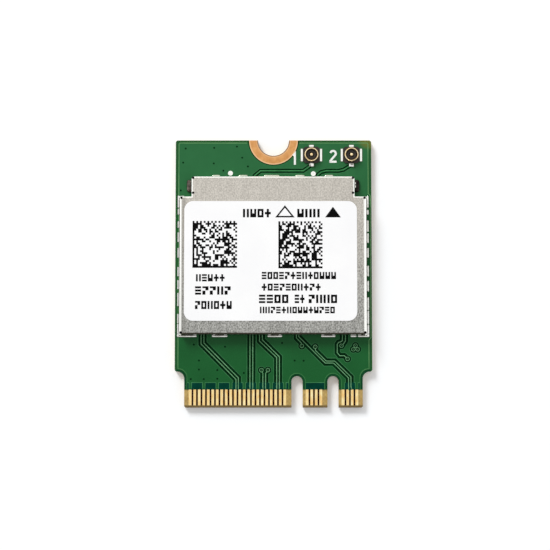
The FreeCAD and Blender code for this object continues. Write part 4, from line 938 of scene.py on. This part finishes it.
def build_beads():
    """Soft solder beads over the tinned lands and the eastern lug, and painted shade in brown along the
    lid's foot.
    """
    low, high = BEAD_FOOT, BEAD_TOP
    shells = [ridge([(x, start + 0.035), (x, end - 0.035)], SIDE_HALF, low, high, 0.08)
              for x, spans in ((WEST_BEAD, WEST_TIN), (EAST_BEAD, EAST_TIN)) for start, end in spans]
    rows = (SOUTH_BEAD, SOUTH_HALF, SOUTH_TIN), (NORTH_BEAD, NORTH_HALF, NORTH_TIN)
    shells += [ridge([(start + 0.06, y), (end - 0.06, y)], half, low, high, 0.12)
               for y, half, spans in rows for start, end in spans]
    lug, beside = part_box("shield_lugs")[1].z / MM, LID_X + LID_NARROW + 0.12
    shells += [ridge([(beside, start), (beside, start + 0.16)], 0.055, lug - 0.02, lug + 0.03)
               for start in (9.62, 9.98)]
    piece("solder_beads", shells, FINISHES["tin"], smooth=True)
    # Painted shade: brown patches on the southern lands and dark brown lines along the lid's west, east
    # and north feet.
    y = SOUTH_BEAD + 0.07
    painted_shade_lines = [ridge([(start + 0.36, y), (end - 0.36, y)], 0.10, low, high + 0.02)
             for start, end in SOUTH_TIN if end - start > 1.0]
    for x in (WEST_BEAD + 0.12, EAST_BEAD - 0.13):
        painted_shade_lines.append(ridge([(x, LID_LOW.y + 0.1), (x, LID_STEP - 0.05)], 0.045, low, high))
    y = NORTH_BEAD - 0.08
    painted_shade_lines.append(ridge([(0.2 - LID_NARROW, y), (LID_NARROW - 0.3, y)], 0.05, low, MASK_TOP + 0.02))
    piece("lid_foot_shade_lines", painted_shade_lines, LID_FOOT_SHADE, smooth=True)


def build_ring_line():
    """Dark edge of the mask round the copper ring of the screw, both faces."""
    line = arc(0.0, BOARD_END, SCREW_RING, 180.6, 359.4, 33)
    shells = [band(line, RIM_HALF, FILM_FOOT, CHANNEL_TOP), band(line, RIM_HALF, -0.002, 0.001)]
    piece("ring_line", shells, CHANNEL)


def build_via_dots():
    """Dark dimples where plated holes lie under the film, on both faces."""
    radius = VIA_PIT + 0.02
    shells = [disc(x, y, radius, MASK_TOP - 0.01, MASK_TOP + 0.002, 12) for x, y in GROUND_VIAS]
    shells += [disc(x, y, radius, -0.001, 0.001, 12) for x, y in SIGNAL_VIAS + GROUND_VIAS]
    piece("via_dots", shells, CHANNEL)


SILK_HALF = 0.115
SILK_DOT = 0.275


def build_silk():
    """White ink on the mask: a figure beside each jack and two dots by the shield."""
    one = [(2.20, 13.26), (2.41, 13.50), (2.41, 12.24)]
    bowl = arc(6.71, 13.50, 0.31, 165, -20, 9)
    two = np.concatenate([bowl, [(6.42, 12.70), (6.42, 12.58), (7.10, 12.58)]])
    shells = [band(line, SILK_HALF, FILM_FOOT, TRACK_TOP) for line in (one, two)]
    shells += [disc(x, y, SILK_DOT, FILM_FOOT, TRACK_TOP) for x, y in ((-4.84, 11.27), (4.48, 11.22))]
    piece("silk_marks", shells, WHITE_INK)


PRINT_LOW = LABEL_TOP - 0.001
PRINT_HIGH = LABEL_TOP + 0.004
TRIANGLE_HALF = 0.085
CODE_MODULES = 24
CODES = [(-9.0, 0.46, -4.05, 5.70), (0.55, 0.40, 5.45, 5.66)]
MARK_STRIPS = [
    (-3.40, -0.15, 6.10, 7.05),
    (2.65, 5.30, 6.10, 7.05),
    (-8.60, -5.30, -1.05, -0.25),
    (-8.70, -4.60, -2.53, -1.60),
    (-8.70, -4.50, -4.13, -3.23),
    (-1.30, 7.05, -0.80, 0.00),
    (-1.30, 5.35, -2.08, -1.30),
    (-1.60, 1.80, -3.47, -2.53),
    (2.35, 3.55, -3.47, -2.53),
    (3.90, 7.20, -3.47, -2.53),
    (-1.50, 6.90, -4.60, -3.87),
]


def code_square(left, south, right, north, random):
    """A square block code: solid left and lower edge, alternating top and right edge, mixed inside."""
    count = CODE_MODULES
    filled = random.random((count, count)) < 0.52
    filled[:, 0] = True
    filled[0, :] = True
    filled[-1, :] = np.arange(count) % 2 == 0
    filled[:, -1] = np.arange(count) % 2 == 0
    row, column = np.nonzero(filled)
    wide, tall = (right - left) / count, (north - south) / count
    return np.stack([left + column * wide, south + row * tall,
                     left + (column + 1) * wide, south + (row + 1) * tall], axis=1)


MARKS = [
    [(0.0, 0.0, 0.34, 1.0), (0.66, 0.0, 1.0, 1.0), (0.34, 0.0, 0.66, 0.25), (0.34, 0.75, 0.66, 1.0)],
    [(0.0, 0.0, 1.0, 0.24), (0.0, 0.38, 1.0, 0.62), (0.0, 0.76, 1.0, 1.0)],
    [(0.0, 0.0, 0.36, 1.0), (0.64, 0.0, 1.0, 1.0)],
    [(0.0, 0.0, 1.0, 0.48), (0.0, 0.48, 0.34, 1.0), (0.66, 0.48, 1.0, 1.0)],
    [(0.0, 0.0, 0.5, 0.48), (0.5, 0.52, 1.0, 1.0), (0.0, 0.78, 0.5, 1.0)],
    [(0.32, 0.0, 0.68, 1.0), (0.0, 0.36, 0.32, 0.64), (0.68, 0.36, 1.0, 0.64)],
]


def mark_strip(left, right, south, north, random):
    """A strip of plain marks in even cells: a box, a stack, two posts, a cup, a stagger or a cross.

    An oblong of the mark at (a, b) to (c, d) lies at the cell's corner plus those shares of its size.
    """
    tall = north - south
    count = round((right - left) / (0.82 * tall))
    step = (right - left) / count
    wide = step * 0.82
    return [(left + k * step + a * wide, south + b * tall, left + k * step + c * wide, south + d * tall)
            for k in range(count) for a, b, c, d in MARKS[random.integers(len(MARKS))]]


def build_print():
    """Black ink on the label: two block codes, strips of marks, an open and a solid triangle."""
    random = np.random.default_rng(7)
    shells = [tiles(code_square(*place, random), PRINT_LOW, PRINT_HIGH) for place in CODES]
    marks = [oblong for strip in MARK_STRIPS for oblong in mark_strip(*strip, random)]
    shells.append(tiles(marks, PRINT_LOW, PRINT_HIGH))
    line = flat_profile(TRIANGLE_HALF, PRINT_LOW, PRINT_HIGH)
    shells.append(swept([(0.37, 6.18), (2.18, 6.18), (1.275, 7.32)], line, closed=True))
    solid = np.array([(5.75, 6.1), (7.5, 6.1), (6.625, 7.3)])
    shells.append(stacked([solid, solid], [PRINT_LOW, PRINT_HIGH]))
    piece("label_print", shells, BLACK_INK_AND_SHADE)


build_tracks()
build_channels()
build_seams()
build_rim()
build_rim_shade()
build_ring_lips()
build_finger_gaps()
build_finger_plating()
build_reliefs()
build_beads()
build_ring_line()
build_via_dots()
build_silk()
build_print()

# Floor, light and camera

FLOOR_LEVEL = -0.02
FLOOR_HALF = 3000.0
FLOOR_LIFT = 0.12
FLOOR_PAINT = (0.925, 0.94, 0.955, 1.0)


def build_floor():
    """A pale plain floor, seen from above only, a little whiter to the eye than to the light."""
    corners = [(-1, -1), (1, -1), (1, 1), (-1, 1)]
    points = [(x * FLOOR_HALF * MM, y * FLOOR_HALF * MM, FLOOR_LEVEL * MM) for x, y in corners]
    mesh = bpy.data.meshes.new("floor")
    mesh.from_pydata(points, [], [(0, 1, 2, 3)])
    floor = bpy.data.objects.new("floor", mesh)
    bpy.context.scene.collection.objects.link(floor)
    material = bpy.data.materials.new("floor_paint")
    material.use_nodes = True
    tree = material.node_tree
    tree.nodes.clear()
    matt = put(tree, "ShaderNodeBsdfDiffuse", {"Color": FLOOR_PAINT})
    seen = put(tree, "ShaderNodeLightPath").outputs["Is Camera Ray"]
    lift = put(tree, "ShaderNodeEmission", {"Strength": maths(tree, "MULTIPLY", seen, FLOOR_LIFT)})
    paint = put(tree, "ShaderNodeAddShader", {0: matt.outputs[0], 1: lift.outputs[0]})
    clear = put(tree, "ShaderNodeBsdfTransparent")
    behind = put(tree, "ShaderNodeNewGeometry").outputs["Backfacing"]
    either = put(tree, "ShaderNodeMixShader", {0: behind, 1: paint.outputs[0], 2: clear.outputs[0]})
    put(tree, "ShaderNodeOutputMaterial", {"Surface": either.outputs[0]})
    mesh.materials.append(material)


def build_world():
    """Pale surroundings, paler low down but dim to the south.

    They are white to the eye, and a softer level for the light that falls in.
    """
    world = bpy.data.worlds.new("studio")
    bpy.context.scene.world = world
    world.use_nodes = True
    tree = world.node_tree
    tree.nodes.clear()
    path = put(tree, "ShaderNodeLightPath")
    direction = put(tree, "ShaderNodeTexCoord").outputs["Generated"]
    _, y, z = coordinates(tree, direction)
    low = ramp(tree, z, 0.6, 0.2)
    south = ramp(tree, y, -0.7, -0.05, 0.14, 1.0)
    level = maths(tree, "ADD", maths(tree, "MULTIPLY", low, 0.4), 1.0)
    reflected = maths(tree, "MULTIPLY", level, south)
    ambient = maths(tree, "ADD", maths(tree, "MULTIPLY", maths(tree, "MULTIPLY", low, south), 0.9), 0.48)
    seen = maths(tree, "MAXIMUM", path.outputs["Is Camera Ray"], path.outputs["Is Transmission Ray"])
    glossy = put(tree, "ShaderNodeMix", {0: path.outputs["Is Glossy Ray"], 2: ambient, 3: reflected})
    strength = put(tree, "ShaderNodeMix", {0: seen, 2: glossy.outputs[0], 3: 1.0})
    light = put(tree, "ShaderNodeBackground",
                {"Color": (1.0, 1.0, 1.0, 1.0), "Strength": strength.outputs[0]})
    put(tree, "ShaderNodeOutputWorld", {"Surface": light.outputs[0]})


def lamp(name, place, wide, tall, watts):
    """An oblong soft lamp that points at the card."""
    data = bpy.data.lights.new(name, "AREA")
    data.shape = "RECTANGLE"
    data.size = wide * MM
    data.size_y = tall * MM
    data.energy = watts
    thing = bpy.data.objects.new(name, data)
    thing.location = Vector(place) * MM
    thing.rotation_euler = (-thing.location).to_track_quat("-Z", "Y").to_euler()
    bpy.context.scene.collection.objects.link(thing)


CAMERA_DISTANCE = 180.0
CAMERA_TILT = 5.0
CAMERA_AIM = (0.17, -0.22, 0.8)
PIXELS = 550
PIXELS_PER_MM = 8.94


def build_camera():
    """A camera almost straight above the card, a little towards the contact edge."""
    data = bpy.data.cameras.new("camera")
    data.sensor_width = 36.0
    data.lens = data.sensor_width * CAMERA_DISTANCE / (PIXELS / PIXELS_PER_MM)
    data.clip_start = 0.01
    data.clip_end = 20.0
    camera = bpy.data.objects.new("camera", data)
    tilt = math.radians(CAMERA_TILT)
    back = Vector((0.0, -math.sin(tilt), math.cos(tilt)))
    camera.location = (Vector(CAMERA_AIM) + back * CAMERA_DISTANCE) * MM
    camera.rotation_euler = (tilt, 0.0, 0.0)
    bpy.context.scene.collection.objects.link(camera)
    bpy.context.scene.camera = camera


build_floor()
build_world()
lamp("key_lamp", (-580.0, 960.0, 800.0), 420.0, 520.0, 13.9)
build_camera()
bpy.context.scene.view_settings.view_transform = "Standard"
